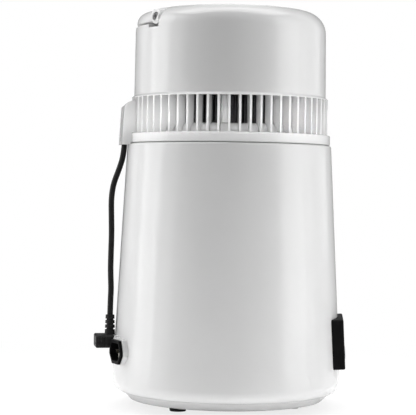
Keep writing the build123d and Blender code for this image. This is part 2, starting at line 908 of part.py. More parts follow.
# Right-angle fan plug: ribbed head, nose in the outlet, ribbed strain relief upward
plug_plane = facing(plug_face_radius, fan_side_angle, outlet_height)
sleeve_radius = outlet_pin_radius + shaft_running_gap + sleeve_wall
with BuildPart() as fan_plug:
    with BuildSketch(plug_plane) as head_outline:
        RectangleRounded(plug_head_width, plug_head_height, plug_head_round)
    extrude(head_outline.sketch, amount=plug_head_depth)
    far_point = around(whole_reach, fan_side_angle, outlet_height)
    outer_edges = fan_plug.faces().sort_by_distance(far_point)[0].edges()
    fillet(outer_edges, plug_head_round / 2)
    rib_start = plug_head_depth - plug_rib_margin - plug_rib_pitch * (plug_rib_count - 1)
    for side in (-1, 1):
        for rib in range(plug_rib_count):
            rib_plane = plug_plane.offset(rib_start + plug_rib_pitch * rib - plug_rib_width / 2)
            rib_place = (side * plug_head_width / 2, 0)
            blocks(rib_plane, [rib_place], 2 * plug_rib_proud, plug_rib_height, plug_rib_width)
    with BuildSketch(plug_plane) as nose:
        SlotOverall(outlet_cavity_width - 2 * free_gap, outlet_cavity_height - 2 * free_gap)
    extrude(nose.sketch, amount=-plug_nose_length)
    stem_place = [tuple(around(plug_stem_radius_at, fan_side_angle, 0))[:2]]
    with BuildSketch(level(plug_top)) as stem_foot:
        with Locations(*stem_place):
            Circle(plug_stem_radius)
    with BuildSketch(level(stem_top)) as stem_end:
        with Locations(*stem_place):
            Circle(plug_stem_top_radius)
    loft([stem_foot.sketch.face(), stem_end.sketch.face()])
    for share in plug_stem_groove_shares:
        with BuildSketch(level(plug_top + plug_stem_length * share)) as stem_groove:
            with Locations(*stem_place):
                Circle(plug_stem_radius + cut_extra)
                Circle(plug_stem_groove_radius, mode=Mode.SUBTRACT)
        extrude(stem_groove.sketch, amount=plug_stem_groove, mode=Mode.SUBTRACT)
    discs(
        plug_plane.offset(-plug_nose_length), outlet_pin_places, sleeve_radius + seat_gap, plug_nose_length,
        Mode.SUBTRACT,
    )
fan_plug.part.label = "fan_plug"
export_step(fan_plug.part, "parts/fan_plug.step")

with BuildPart() as plug_contacts:
    discs(plug_plane.offset(-plug_nose_length), outlet_pin_places, sleeve_radius, plug_nose_length)
    discs(
        plug_plane.offset(-plug_nose_length), outlet_pin_places, sleeve_radius - sleeve_wall, plug_nose_length,
        Mode.SUBTRACT,
    )
plug_contacts.part.label = "plug_contacts"
export_step(plug_contacts.part, "parts/plug_contacts.step")

# Fan cord, hanging from the duct's floor to the plug
gland_bottom = head_bottom - duct_bottom_drop + duct_floor + seat_gap
cord_points = [around(cord_start_radius, fan_side_angle, gland_bottom - 2 * seat_gap)]
cord_points += [around(radius, fan_side_angle, height) for radius, height in cord_route]
cord_points += [around(plug_stem_radius_at, fan_side_angle, stem_top + seat_gap)]
cord_bends = soft_bends(cord_points, bend_share)
with BuildPart() as fan_cord:
    cord_path = tube(cord_points, cord_bends, cord_radius)
fan_cord.part.label = "fan_cord"
export_step(fan_cord.part, "parts/fan_cord.step")
print("fan cord radii", [round(bend, 1) for bend in cord_bends])
print("fan cord volume share", fan_cord.part.volume / (math.pi * cord_radius**2 * cord_path.length))

# Control panel box, let into the housing and held by ridges behind its wall
with BuildPart() as panel_housing:
    with BuildSketch(panel_plane) as panel_outline:
        RectangleRounded(panel_width, panel_height, panel_corner)
    extrude(panel_outline.sketch, amount=-panel_depth)
    front_edges = panel_housing.faces().sort_by_distance((0, -whole_reach, panel_mid_height))[0].edges()
    fillet(front_edges, panel_edge_round)
    blocks(
        panel_plane.offset(-panel_wall), [(0, 0)], panel_width - 2 * panel_wall, panel_height - 2 * panel_wall,
        -panel_depth, Mode.SUBTRACT,
    )
    for side in (-1, 1):
        blocks(
            panel_plane.offset(-panel_depth), [(side * panel_width / 2, 0)], 2 * panel_ridge_proud,
            panel_ridge_length, panel_ridge_depth,
        )
    discs(panel_plane.offset(-panel_wall), board_post_places, board_post_radius, panel_wall - board_depth)
    with BuildSketch(panel_plane) as window_seat:
        with Locations((0, window_raise)):
            RectangleRounded(window_width, window_height, window_corner)
    extrude(window_seat.sketch, amount=-window_thickness, mode=Mode.SUBTRACT)
    blocks(
        panel_plane, [(0, window_raise)], window_width - 2 * window_border, window_height - 2 * window_border,
        -panel_wall, Mode.SUBTRACT,
    )
    discs(panel_plane, button_places, button_radius + button_gap, -panel_wall, Mode.SUBTRACT)
    discs(
        panel_plane.offset(-board_depth), board_post_places, board_screw_radius + seat_gap,
        board_screw_length - board_thickness, Mode.SUBTRACT,
    )
panel_housing.part.label = "panel_housing"
export_step(panel_housing.part, "parts/panel_housing.step")

with BuildPart() as panel_window:
    with BuildSketch(panel_plane) as window_outline:
        with Locations((0, window_raise)):
            RectangleRounded(
                window_width - 2 * seat_gap, window_height - 2 * seat_gap, window_corner - seat_gap
            )
    extrude(window_outline.sketch, amount=-window_thickness)
panel_window.part.label = "panel_window"
export_step(panel_window.part, "parts/panel_window.step")

# Circuit board with its display, switches and screws
board_front = panel_plane.offset(-board_depth)
with BuildPart() as display_module:
    blocks(
        board_front, [(0, window_raise)], display_width, display_height, board_depth - panel_wall - display_gap
    )
display_module.part.label = "display_module"
export_step(display_module.part, "parts/display_module.step")

with BuildPart() as control_board:
    blocks(board_front, [(0, 0)], board_width, board_height, -board_thickness)
    discs(board_front, board_post_places, board_screw_radius + seat_gap, -board_thickness, Mode.SUBTRACT)
control_board.part.label = "control_board"
export_step(control_board.part, "parts/control_board.step")

button_back = panel_wall + seat_gap + button_flange_height
switch_height = board_depth - button_back - button_travel - seat_gap - switch_plunger_height
with BuildPart() as key_switches:
    blocks(board_front, button_places, switch_size, switch_size, switch_height)
    discs(board_front.offset(switch_height), button_places, switch_plunger_radius, switch_plunger_height)
key_switches.part.label = "key_switches"
export_step(key_switches.part, "parts/key_switches.step")

board_back = board_front.offset(-board_thickness)
with BuildPart() as panel_screws:
    discs(board_back, board_post_places, board_screw_head_radius, -board_screw_head_height)
    discs(board_back, board_post_places, board_screw_radius, board_screw_length)
panel_screws.part.label = "panel_screws"
export_step(panel_screws.part, "parts/panel_screws.step")


def push_button(place):
    """Round button cap with the flange that keeps it behind the panel."""
    discs(panel_plane.offset(-button_back), [place], button_flange_radius, button_flange_height)
    discs(panel_plane.offset(-button_back), [place], button_radius, button_back + button_proud)


# Four push buttons
with BuildPart() as power_button:
    push_button(button_places[0])
    fillet(power_button.edges().sort_by(Axis.Y)[0], button_round)
power_button.part.label = "power_button"
export_step(power_button.part, "parts/power_button.step")

with BuildPart() as set_button:
    push_button(button_places[1])
    fillet(set_button.edges().sort_by(Axis.Y)[0], button_round)
set_button.part.label = "set_button"
export_step(set_button.part, "parts/set_button.step")

with BuildPart() as minus_button:
    push_button(button_places[2])
    fillet(minus_button.edges().sort_by(Axis.Y)[0], button_round)
minus_button.part.label = "minus_button"
export_step(minus_button.part, "parts/minus_button.step")

with BuildPart() as plus_button:
    push_button(button_places[3])
    fillet(plus_button.edges().sort_by(Axis.Y)[0], button_round)
plus_button.part.label = "plus_button"
export_step(plus_button.part, "parts/plus_button.step")

# Wires from the inlet to the element and the plate
tail_depth = -inlet_back - pin_tail / 2
tail_low = -pin_height / 2 - seat_gap


def wire_route(start, floor, end):
    """Down from a tab, across the floor of the base and up to a terminal."""
    return (start, (start.X, start.Y, floor), (end.X, end.Y, floor), end)


leg_bottom = element_height - leg_length
with BuildPart() as live_wire:
    live_start = inlet_plane.from_local_coords((pin_spacing, tail_low, tail_depth))
    live_end = around(element_circle, leg_angles[1], leg_bottom)
    tube(wire_route(live_start, wire_floor_height, live_end), wire_bend, wire_radius)
live_wire.part.label = "live_wire"
export_step(live_wire.part, "parts/live_wire.step")

with BuildPart() as neutral_wire:
    neutral_start = inlet_plane.from_local_coords((-pin_spacing, tail_low, tail_depth))
    neutral_end = around(element_circle, leg_angles[0], leg_bottom)
    tube(wire_route(neutral_start, wire_floor_height, neutral_end), wire_bend, wire_radius)
neutral_wire.part.label = "neutral_wire"
export_step(neutral_wire.part, "parts/neutral_wire.step")

with BuildPart() as earth_wire:
    earth_start = inlet_plane.from_local_coords((0, -pin_earth_drop + tail_low, tail_depth))
    earth_end = around(earth_reach, inlet_angle, plate_bottom)
    tube(wire_route(earth_start, wire_floor_height, earth_end), wire_bend, wire_radius)
earth_wire.part.label = "earth_wire"
export_step(earth_wire.part, "parts/earth_wire.step")

# Cables from the fan outlet and from the panel
tab_bottom = plate_bottom - thermostat_height - tab_length
with BuildPart() as outlet_cable:
    cable_start = outlet_face.from_local_coords(
        (0, -outlet_pin_radius - cable_radius, -outlet_back - cable_radius - seat_gap)
    )
    cable_end = Vector(tab_offset, thermostat_offset, tab_bottom)
    cable_points = (
        cable_start,
        (cable_start.X, cable_start.Y, wire_floor_height - cable_radius),
        (cable_end.X, cable_end.Y, wire_floor_height - cable_radius),
        cable_end,
    )
    tube(cable_points, (wire_bend, wire_bend / 2), cable_radius)
outlet_cable.part.label = "outlet_cable"
export_step(outlet_cable.part, "parts/outlet_cable.step")

with BuildPart() as panel_cable:
    panel_start = board_back.from_local_coords((0, -panel_cable_drop, 0))
    panel_turn = panel_plane.from_local_coords((0, -panel_cable_drop, -panel_depth - 3 * cable_radius))
    panel_end = Vector(tab_offset, -thermostat_offset, tab_bottom)
    panel_points = (
        panel_start,
        panel_turn,
        (panel_turn.X, panel_turn.Y, wire_floor_height - cable_radius),
        (panel_end.X, panel_end.Y, wire_floor_height - cable_radius),
        panel_end,
    )
    tube(panel_points, (wire_bend, wire_bend, wire_bend / 2), cable_radius)
panel_cable.part.label = "panel_cable"
export_step(panel_cable.part, "parts/panel_cable.step")

# Shapes that the dome is cut with: its hollow, and the handle's recess with deeper pockets under the lugs
handle_hollow_floor = recess_floor_height - recess_wall
pocket_floor = recess_floor_height - pocket_depth
recess_end = pivot_offset - lug_radius - recess_end_gap
with BuildPart(mode=Mode.PRIVATE) as recess_block:
    spin(
        (
            (recess_radius - recess_wall, handle_hollow_floor),
            (housing_foot_radius, handle_hollow_floor),
            (housing_foot_radius, dome_top),
            (recess_radius - recess_wall, dome_top),
        )
    )
    keep_beyond(recess_end - recess_wall, 0)
with BuildPart(mode=Mode.PRIVATE) as pocket_block:
    spin(
        (
            (recess_radius - recess_wall, pocket_floor - recess_wall),
            (housing_foot_radius, pocket_floor - recess_wall),
            (housing_foot_radius, recess_floor_height),
            (recess_radius - recess_wall, recess_floor_height),
        )
    )
    blocks(
        handle_level(0), [(0, recess_end + pocket_width / 2)], 2 * housing_foot_radius,
        pocket_width + 2 * recess_wall, whole_reach, Mode.INTERSECT,
    )
with BuildPart(mode=Mode.PRIVATE) as recess_cut:
    spin(
        (
            (recess_radius, recess_floor_height),
            (housing_foot_radius, recess_floor_height),
            (housing_foot_radius, dome_top + cut_extra),
            (recess_radius, dome_top + cut_extra),
        )
    )
    keep_beyond(recess_end, 0)
with BuildPart(mode=Mode.PRIVATE) as pocket_cut:
    spin(
        (
            (recess_radius, pocket_floor),
            (housing_foot_radius, pocket_floor),
            (housing_foot_radius, recess_floor_height + cut_extra),
            (recess_radius, recess_floor_height + cut_extra),
        )
    )
    blocks(
        handle_level(0), [(0, recess_end + pocket_width / 2)], 2 * housing_foot_radius, pocket_width,
        whole_reach, Mode.INTERSECT,
    )


def dome_form(foot_radius_here, top_radius_here, foot, top, round_here):
    """Turned solid of the dome: tapered wall, rounded edge and a low crown."""
    with BuildSketch(Plane.XZ) as outline:
        with BuildLine():
            edge = (top_radius_here, top - crown_drop)
            ThreePointArc((0, top), (top_radius_here / 2, top - crown_drop / 4), edge)
            Polyline(edge, (foot_radius_here, foot), (0, foot), (0, top))
        make_face()
        fillet(outline.vertices().sort_by_distance(Vector(*edge))[0], round_here)
    revolve(outline.sketch, axis=Axis.Z)


with BuildPart(mode=Mode.PRIVATE) as dome_hollow:
    dome_form(
        dome_foot_radius - dome_wall, dome_top_radius - dome_wall, slot_top - cut_extra, dome_top - dome_wall,
        dome_round - dome_wall,
    )
    add(recess_block.part, mode=Mode.SUBTRACT)
    add(pocket_block.part, mode=Mode.SUBTRACT)
    for side in (-1, 1):
        boss_start = recess_radius - pivot_boss_length
        discs(pivot_plane(side, boss_start), [(0, 0)], pivot_boss_radius, pivot_boss_length, Mode.SUBTRACT)
    discs(level(bracket_top), bracket_places, bracket_boss_radius, dome_height, Mode.SUBTRACT)

# Dome, vent fins and rim in one moulding
with BuildPart() as dome_shell:
    dome_form(dome_foot_radius, dome_top_radius, slot_top, dome_top, dome_round)
    add(dome_hollow.part, mode=Mode.SUBTRACT)
    add(recess_cut.part, mode=Mode.SUBTRACT)
    add(pocket_cut.part, mode=Mode.SUBTRACT)
    spin(
        (
            (rim_ledge_radius, rim_ledge_bottom),
            (rim_radius - rim_skirt, rim_ledge_bottom),
            (rim_radius - rim_skirt, head_bottom),
            (rim_radius, head_bottom),
            (rim_radius, rim_top),
            (rim_ledge_radius, rim_top),
        ),
        (((rim_radius, head_bottom), rim_round), ((rim_radius, rim_top), rim_round)),
    )
    fin_length = fin_outer_radius - fin_inner_radius
    fin_proud = fin_outer_radius - dome_foot_radius
    with BuildSketch(level(rim_top)) as fins:
        with PolarLocations(fin_inner_radius + fin_length / 2, fin_count, start_angle=fin_phase):
            Rectangle(fin_length, fin_thickness)
    extrude(fins.sketch, amount=slot_height + fin_proud)
    spin(
        (
            (fin_outer_radius, slot_top),
            (rim_radius, slot_top),
            (rim_radius, slot_top + 2 * fin_proud),
            (dome_foot_radius - fin_proud * wall_slope, slot_top + fin_proud),
        ),
        mode=Mode.SUBTRACT,
    )
    spin(
        (
            (dome_foot_radius - dome_wall / 2, slot_top),
            (fin_outer_radius, slot_top),
            (fin_outer_radius, slot_top + collar_edge),
            (dome_foot_radius - fin_proud * wall_slope, slot_top + collar_edge + fin_proud),
        ),
    )
    with BuildSketch(level(slot_top)) as fin_roots:
        inner_length = dome_foot_radius - dome_wall - fin_inner_radius
        with PolarLocations(fin_inner_radius + inner_length / 2, fin_count, start_angle=fin_phase):
            Rectangle(inner_length + dome_wall / 2, fin_thickness)
    extrude(fin_roots.sketch, amount=fin_overlap)
    spin(
        (
            (pillar_circle, rim_top - cut_extra),
            (tray_lip_radius + free_gap, rim_top - cut_extra),
            (tray_lip_radius + free_gap, platform_top + free_gap),
            (pillar_circle, platform_top + free_gap),
        ),
        (((tray_lip_radius + free_gap, platform_top + free_gap), tray_lip_round + free_gap),),
        Mode.SUBTRACT,
    )
    pillar_height = slot_top + pillar_top_rise - platform_top
    discs(level(platform_top), pillar_places, pillar_radius, pillar_height)
    web_length = dome_foot_radius - dome_wall / 2 - pillar_circle
    with BuildSketch(level(slot_top)) as webs:
        with PolarLocations(pillar_circle + web_length / 2, pillar_count, start_angle=pillar_angle):
            Rectangle(web_length, pillar_web)
    extrude(webs.sketch, amount=pillar_top_rise)
    discs(
        level(platform_top),
        pillar_places,
        dome_screw_radius + seat_gap,
        dome_screw_length - tray_wall,
        Mode.SUBTRACT,
    )
    discs(level(bracket_top), bracket_places, screw_shank_radius + seat_gap, motor_screw_length, Mode.SUBTRACT)
    for side in (-1, 1):
        boss_start = recess_radius - pivot_boss_length
        discs(
            pivot_plane(side, boss_start), [(0, 0)], pivot_shank_radius + seat_gap, 2 * pivot_boss_length,
            Mode.SUBTRACT,
        )
    with BuildSketch(level(dome_top - 2 * crown_drop - dome_wall)) as intake:
        with PolarLocations(intake_circle, intake_count):
            SlotOverall(intake_length, intake_width)
    extrude(intake.sketch, amount=dome_round, mode=Mode.SUBTRACT)
    port_plane = facing(fin_inner_radius - cut_extra, port_angle, platform_top + coil_end_rise)
    discs(port_plane, [(0, 0)], port_radius + seat_gap, rim_radius - fin_inner_radius, Mode.SUBTRACT)
dome_shell.part.label = "dome_shell"
export_step(dome_shell.part, "parts/dome_shell.step")

# Carrying handle with rounded lugs
with BuildPart(mode=Mode.PRIVATE) as handle_ends:
    blocks(
        handle_level(handle_base_height - cut_extra),
        [(0, pivot_offset / 2 - cut_extra)],
        2 * housing_foot_radius,
        pivot_offset + 2 * cut_extra, handle_thickness + 2 * cut_extra,
    )
    blocks(
        handle_level(handle_base_height - 2 * cut_extra), [(0, pivot_offset + housing_foot_radius / 2)],
        2 * housing_foot_radius, housing_foot_radius, handle_thickness + 4 * cut_extra, Mode.SUBTRACT,
    )
    discs(
        pivot_plane(1, -housing_foot_radius), [(0, 0)], lug_radius, 2 * housing_foot_radius, Mode.SUBTRACT
    )
handle_top = handle_base_height + handle_thickness
with BuildPart() as handle:
    spin(
        (
            (handle_inner_radius, handle_base_height),
            (handle_outer_radius, handle_base_height),
            (handle_outer_radius, handle_top),
            (handle_inner_radius, handle_top),
        ),
        (
            ((handle_outer_radius, handle_top), handle_outer_round),
            ((handle_outer_radius, handle_base_height), handle_edge_round),
            ((handle_inner_radius, handle_base_height), handle_edge_round),
        ),
    )
    keep_beyond(0, 0)
    add(handle_ends.part, mode=Mode.SUBTRACT)
    for side in (-1, 1):
        lug_length = lug_face + pivot_head_height - handle_inner_radius
        discs(pivot_plane(side, handle_inner_radius), [(0, 0)], lug_radius, lug_length)
        sink_radius = pivot_head_radius + pivot_sink_gap
        discs(pivot_plane(side, lug_face), [(0, 0)], sink_radius, rim_radius, Mode.SUBTRACT)
        discs(
            pivot_plane(side, pillar_circle), [(0, 0)], pivot_shank_radius + seat_gap, lug_face - pillar_circle,
            Mode.SUBTRACT,
        )
handle.part.label = "handle"
export_step(handle.part, "parts/handle.step")

with BuildPart() as pivot_screws:
    for side in (-1, 1):
        head_plane = pivot_plane(side, lug_face + seat_gap)
        discs(head_plane, [(0, 0)], pivot_head_radius, pivot_head_height)
        discs(head_plane, [(0, 0)], pivot_shank_radius, -pivot_shank_length)
        head_top = pivot_plane(side, lug_face + seat_gap + pivot_head_height)
        blocks(head_top, [(0, 0)], pivot_cross_length, pivot_cross_width, -pivot_cross_depth, Mode.SUBTRACT)
        blocks(head_top, [(0, 0)], pivot_cross_width, pivot_cross_length, -pivot_cross_depth, Mode.SUBTRACT)
pivot_screws.part.label = "pivot_screws"
export_step(pivot_screws.part, "parts/pivot_screws.step")

# Condenser tray with its rounded lip
riser_place = [tuple(around(riser_circle, bracket_angle, 0))[:2]]
with BuildPart() as condenser_tray:
    lip_inner = tray_lip_radius - tray_wall
    spin(
        (
            (0, platform_bottom),
            (lip_inner, platform_bottom),
            (lip_inner, tray_flange_bottom),
            (tray_flange_radius, tray_flange_bottom),
            (tray_flange_radius, rim_ledge_bottom),
            (tray_lip_radius, rim_ledge_bottom),
            (tray_lip_radius, platform_top),
            (0, platform_top),
        ),
        (
            ((tray_lip_radius, platform_top), tray_lip_round),
            ((lip_inner, platform_bottom), tray_lip_round - tray_wall),
        ),
    )
    discs(level(platform_bottom), riser_place, coil_tube_radius + free_gap, tray_wall, Mode.SUBTRACT)
    discs(level(platform_bottom), pillar_places, dome_screw_radius + seat_gap, tray_wall, Mode.SUBTRACT)
condenser_tray.part.label = "condenser_tray"
export_step(condenser_tray.part, "parts/condenser_tray.step")

with BuildPart() as dome_screws:
    discs(level(platform_bottom), pillar_places, dome_screw_head_radius, -dome_screw_head_height)
    discs(level(platform_bottom), pillar_places, dome_screw_radius, dome_screw_length)
dome_screws.part.label = "dome_screws"
export_step(dome_screws.part, "parts/dome_screws.step")

# Stainless steam cover, dished up under the tray
with BuildPart() as steam_cover:
    dish_top = cover_flange_bottom + cover_dish_rise
    dish_inner = cover_dish_radius - cover_thickness
    spin(
        (
            (0, dish_top - cover_thickness),
            (dish_inner, dish_top - cover_thickness),
            (dish_inner, cover_flange_bottom),
            (cover_flange_radius, cover_flange_bottom),
            (cover_flange_radius, tray_flange_bottom),
            (cover_dish_radius, tray_flange_bottom),
            (cover_dish_radius, dish_top),
            (0, dish_top),
        ),
        (
            ((cover_dish_radius, dish_top), cover_round),
            ((dish_inner, dish_top - cover_thickness), cover_round - cover_thickness),
        ),
    )
    discs(level(dish_top), riser_place, coil_tube_radius + free_gap, -cover_thickness, Mode.SUBTRACT)
steam_cover.part.label = "steam_cover"
export_step(steam_cover.part, "parts/steam_cover.step")

# Silicone seal with a lip inside the chamber's mouth
with BuildPart() as lid_seal:
    spin(
        (
            (seal_inner_radius, flange_top - seal_lip_depth),
            (seal_inner_radius + seal_lip_thickness, flange_top - seal_lip_depth),
            (seal_inner_radius + seal_lip_thickness, flange_top),
            (seal_outer_radius, flange_top),
            (seal_outer_radius, cover_flange_bottom),
            (seal_inner_radius, cover_flange_bottom),
        )
    )
lid_seal.part.label = "lid_seal"
export_step(lid_seal.part, "parts/lid_seal.step")

# Condenser coil: riser, turns and the end that leads to the port
coil_top = platform_top + coil_top_rise
coil_end = platform_top + coil_end_rise
coil_drop = (coil_top - coil_end) / coil_step_count
coil_points = [
    around(riser_circle, bracket_angle, dish_top - cover_thickness - riser_foot),
    around(riser_circle, bracket_angle, coil_top),
]
coil_points += [
    around(coil_circle, coil_start_angle + coil_step_angle * step, coil_top - coil_drop * step)
    for step in range(coil_step_count + 1)
]
coil_points += [around(coil_end_radius, port_angle, coil_end)]
coil_bends = soft_bends(coil_points, bend_share)
with BuildPart() as condenser_coil:
    coil_path = tube(coil_points, coil_bends, coil_tube_radius)
condenser_coil.part.label = "condenser_coil"
export_step(condenser_coil.part, "parts/condenser_coil.step")
coil_pitch = coil_drop * 360 / coil_step_angle
print("coil gap between turns", coil_pitch - 2 * coil_tube_radius)
print("coil smallest bend", min(coil_bends))
print("coil volume share", condenser_coil.part.volume / (math.pi * coil_tube_radius**2 * coil_path.length))

# Fin ring around the coil, with a way through for the coil's end
with BuildPart() as condenser_fins:
    with BuildSketch(level(platform_top)) as fin_ring:
        Circle(band_radius + band_thickness)
        fin_plate_length = plate_ring_radius - band_radius - band_thickness / 2
        with PolarLocations(band_radius + band_thickness / 2 + fin_plate_length / 2, plate_ring_count):
            Rectangle(fin_plate_length, plate_ring_thickness)
        Circle(band_radius, mode=Mode.SUBTRACT)
    extrude(fin_ring.sketch, amount=plate_ring_height)
    coil_way = facing(coil_circle, port_angle, coil_end)
    blocks(
        coil_way, [(-coil_way_shift, 0)], coil_way_width, 2 * (coil_tube_radius + free_gap),
        coil_end_radius - coil_circle, Mode.SUBTRACT,
    )
condenser_fins.part.label = "condenser_fins"
export_step(condenser_fins.part, "parts/condenser_fins.step")

# Outlet port
with BuildPart() as outlet_port:
    port_inner = facing(coil_end_radius, port_angle, coil_end)
    port_length = port_face_radius - coil_end_radius
    discs(port_inner, [(0, 0)], port_radius, port_length)
    collar_plane = facing(fin_inner_radius - port_collar_setback - port_collar_thickness, port_angle, coil_end)
    discs(collar_plane, [(0, 0)], port_collar_radius, port_collar_thickness)
    keep_above = platform_top + free_gap
    discs(port_inner, [(0, 0)], port_tube_radius, port_length, Mode.SUBTRACT)
    port_face = facing(port_face_radius, port_angle, coil_end)
    discs(port_face, [(0, 0)], port_bore_radius, -port_bore_length, Mode.SUBTRACT)
    blocks(
        level(keep_above), [tuple(around(fin_inner_radius, port_angle, 0))[:2]], 2 * rim_radius, 2 * rim_radius,
        -port_radius - port_collar_radius, Mode.SUBTRACT,
    )
outlet_port.part.label = "outlet_port"
export_step(outlet_port.part, "parts/outlet_port.step")


def fan_wing(angle):
    """One twisted blade from the hub to the tip."""
    middle = fan_bottom + hub_height / 2
    with BuildSketch(facing(blade_root_radius, angle, middle)) as root:
        Rectangle(blade_root_chord, blade_thickness, rotation=blade_root_pitch)
    with BuildSketch(facing(blade_tip_radius, angle, middle)) as tip:
        Rectangle(blade_tip_chord, blade_thickness, rotation=blade_tip_pitch)
    loft([root.sketch.face(), tip.sketch.face()])


# Fan, shaft and clip
with BuildPart() as fan_blade:
    discs(level(fan_bottom), [(0, 0)], hub_radius, hub_height)
    for blade in range(blade_count):
        fan_wing(360 * blade / blade_count)
    discs(level(fan_bottom), [(0, 0)], shaft_radius + seat_gap, hub_height, Mode.SUBTRACT)
fan_blade.part.label = "fan_blade"
export_step(fan_blade.part, "parts/fan_blade.step")

shaft_bottom = fan_bottom - 2 * clip_thickness - clip_drop
with BuildPart() as motor_shaft:
    discs(level(shaft_bottom), [(0, 0)], shaft_radius, shaft_length)
motor_shaft.part.label = "motor_shaft"
export_step(motor_shaft.part, "parts/motor_shaft.step")

with BuildPart() as fan_clip:
    discs(level(fan_bottom - clip_drop), [(0, 0)], clip_radius, -clip_thickness)
    discs(level(fan_bottom - clip_drop), [(0, 0)], shaft_radius + seat_gap, -clip_thickness, Mode.SUBTRACT)
fan_clip.part.label = "fan_clip"
export_step(fan_clip.part, "parts/fan_clip.step")

# Motor, its bracket and screws
with BuildPart() as fan_motor:
    spin(
        (
            (0, motor_bottom - motor_nose_height),
            (motor_nose_radius, motor_bottom - motor_nose_height),
            (motor_nose_radius, motor_bottom),
            (motor_radius, motor_bottom),
            (motor_radius, motor_top),
            (0, motor_top),
        ),
        (((motor_radius, motor_bottom), motor_round),),
    )
    shaft_way = shaft_bottom + shaft_length + free_gap - motor_bottom + motor_nose_height
    discs(
        level(motor_bottom - motor_nose_height),
        [(0, 0)],
        shaft_radius + shaft_running_gap,
        shaft_way,
        Mode.SUBTRACT,
    )
fan_motor.part.label = "fan_motor"
export_step(fan_motor.part, "parts/fan_motor.step")

with BuildPart() as motor_bracket:
    discs(level(motor_top), [(0, 0)], bracket_hub_radius, bracket_thickness)
    with BuildSketch(level(motor_top)) as arms:
        with PolarLocations(bracket_circle / 2, bracket_count, start_angle=bracket_angle):
            Rectangle(bracket_circle, bracket_arm_width)
    extrude(arms.sketch, amount=bracket_thickness)
    discs(level(motor_top), bracket_places, bracket_arm_width / 2, bracket_thickness)
    discs(level(motor_top), bracket_places, screw_shank_radius + seat_gap, bracket_thickness, Mode.SUBTRACT)
motor_bracket.part.label = "motor_bracket"
export_step(motor_bracket.part, "parts/motor_bracket.step")

with BuildPart() as motor_screws:
    discs(level(motor_top), bracket_places, screw_head_radius, -screw_head_height)
    discs(level(motor_top), bracket_places, screw_shank_radius, motor_screw_length)
motor_screws.part.label = "motor_screws"
export_step(motor_screws.part, "parts/motor_screws.step")

# Rear duct that covers the cord's way into the head
duct_bottom = head_bottom - duct_bottom_drop
duct_shoulder = duct_top_height - duct_shoulder_drop
facing_side = Plane(
    origin=(0, 0, 0),
    x_dir=around(1, fan_side_angle, 0),
    z_dir=around(1, fan_side_angle - 90, 0),
)


def duct_body(half_width, inset, floor, mode):
    """Duct outline drawn in the meridian plane, as thick as its width."""
    with BuildSketch(facing_side) as outline:
        with BuildLine():
            Polyline(
                (fin_inner_radius, floor),
                (duct_face_radius - inset, floor),
                (duct_top_face_radius - inset, duct_shoulder - inset),
                (fin_outer_radius + duct_shoulder_drop / 2 - inset, duct_top_height - inset),
                (fin_inner_radius, duct_top_height - inset),
                close=True,
            )
        make_face()
    extrude(outline.sketch, amount=half_width, both=True, mode=mode)


cord_place = [tuple(around(cord_start_radius, fan_side_angle, 0))[:2]]
with BuildPart() as rear_duct:
    duct_body(duct_half_width, 0, duct_bottom, Mode.ADD)
    duct_body(duct_half_width - duct_wall, duct_wall, duct_bottom + duct_floor, Mode.SUBTRACT)
    spin(
        (
            (0, duct_bottom - cut_extra),
            (housing_top_radius + free_gap, duct_bottom - cut_extra),
            (housing_top_radius + free_gap, head_bottom),
            (rim_radius + seat_gap, head_bottom),
            (rim_radius + seat_gap, rim_top + seat_gap),
            (fin_outer_radius + seat_gap, rim_top + seat_gap),
            (fin_outer_radius + seat_gap, duct_top_height + cut_extra),
            (0, duct_top_height + cut_extra),
        ),
        mode=Mode.SUBTRACT,
    )
    discs(level(duct_bottom), cord_place, cord_radius + free_gap, duct_floor, Mode.SUBTRACT)
rear_duct.part.label = "rear_duct"
export_step(rear_duct.part, "parts/rear_duct.step")

# Gland in the duct
gland_inner = rim_radius + 2 * seat_gap
gland_outer = duct_face_radius - duct_wall - 2 * seat_gap - wall_slope * gland_height * 2
with BuildPart() as cord_gland:
    gland_plane = facing(gland_inner, fan_side_angle, gland_bottom + gland_height / 2)
    blocks(gland_plane, [(0, 0)], gland_width, gland_height, gland_outer - gland_inner)
cord_gland.part.label = "cord_gland"
export_step(cord_gland.part, "parts/cord_gland.step")

# Lead from the gland through a vent slot to the motor
gland_middle = (gland_inner + gland_outer) / 2
lead_angle = fin_phase + 360 / fin_count * lead_slot_steps
with BuildPart() as fan_lead:
    lead_points = (
        around(gland_middle, lead_angle, gland_bottom + gland_height),
        around(gland_middle, lead_angle, lead_cross_height),
        around(lead_rise_radius, lead_angle, lead_cross_height),
        around(lead_rise_radius, lead_angle, lead_top_height),
        around(motor_radius, lead_angle, lead_top_height),
    )
    tube(lead_points, lead_bend, lead_radius)
fan_lead.part.label = "fan_lead"
export_step(fan_lead.part, "parts/fan_lead.step")
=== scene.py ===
import math

import bmesh
import bpy
from mathutils import Matrix, Vector


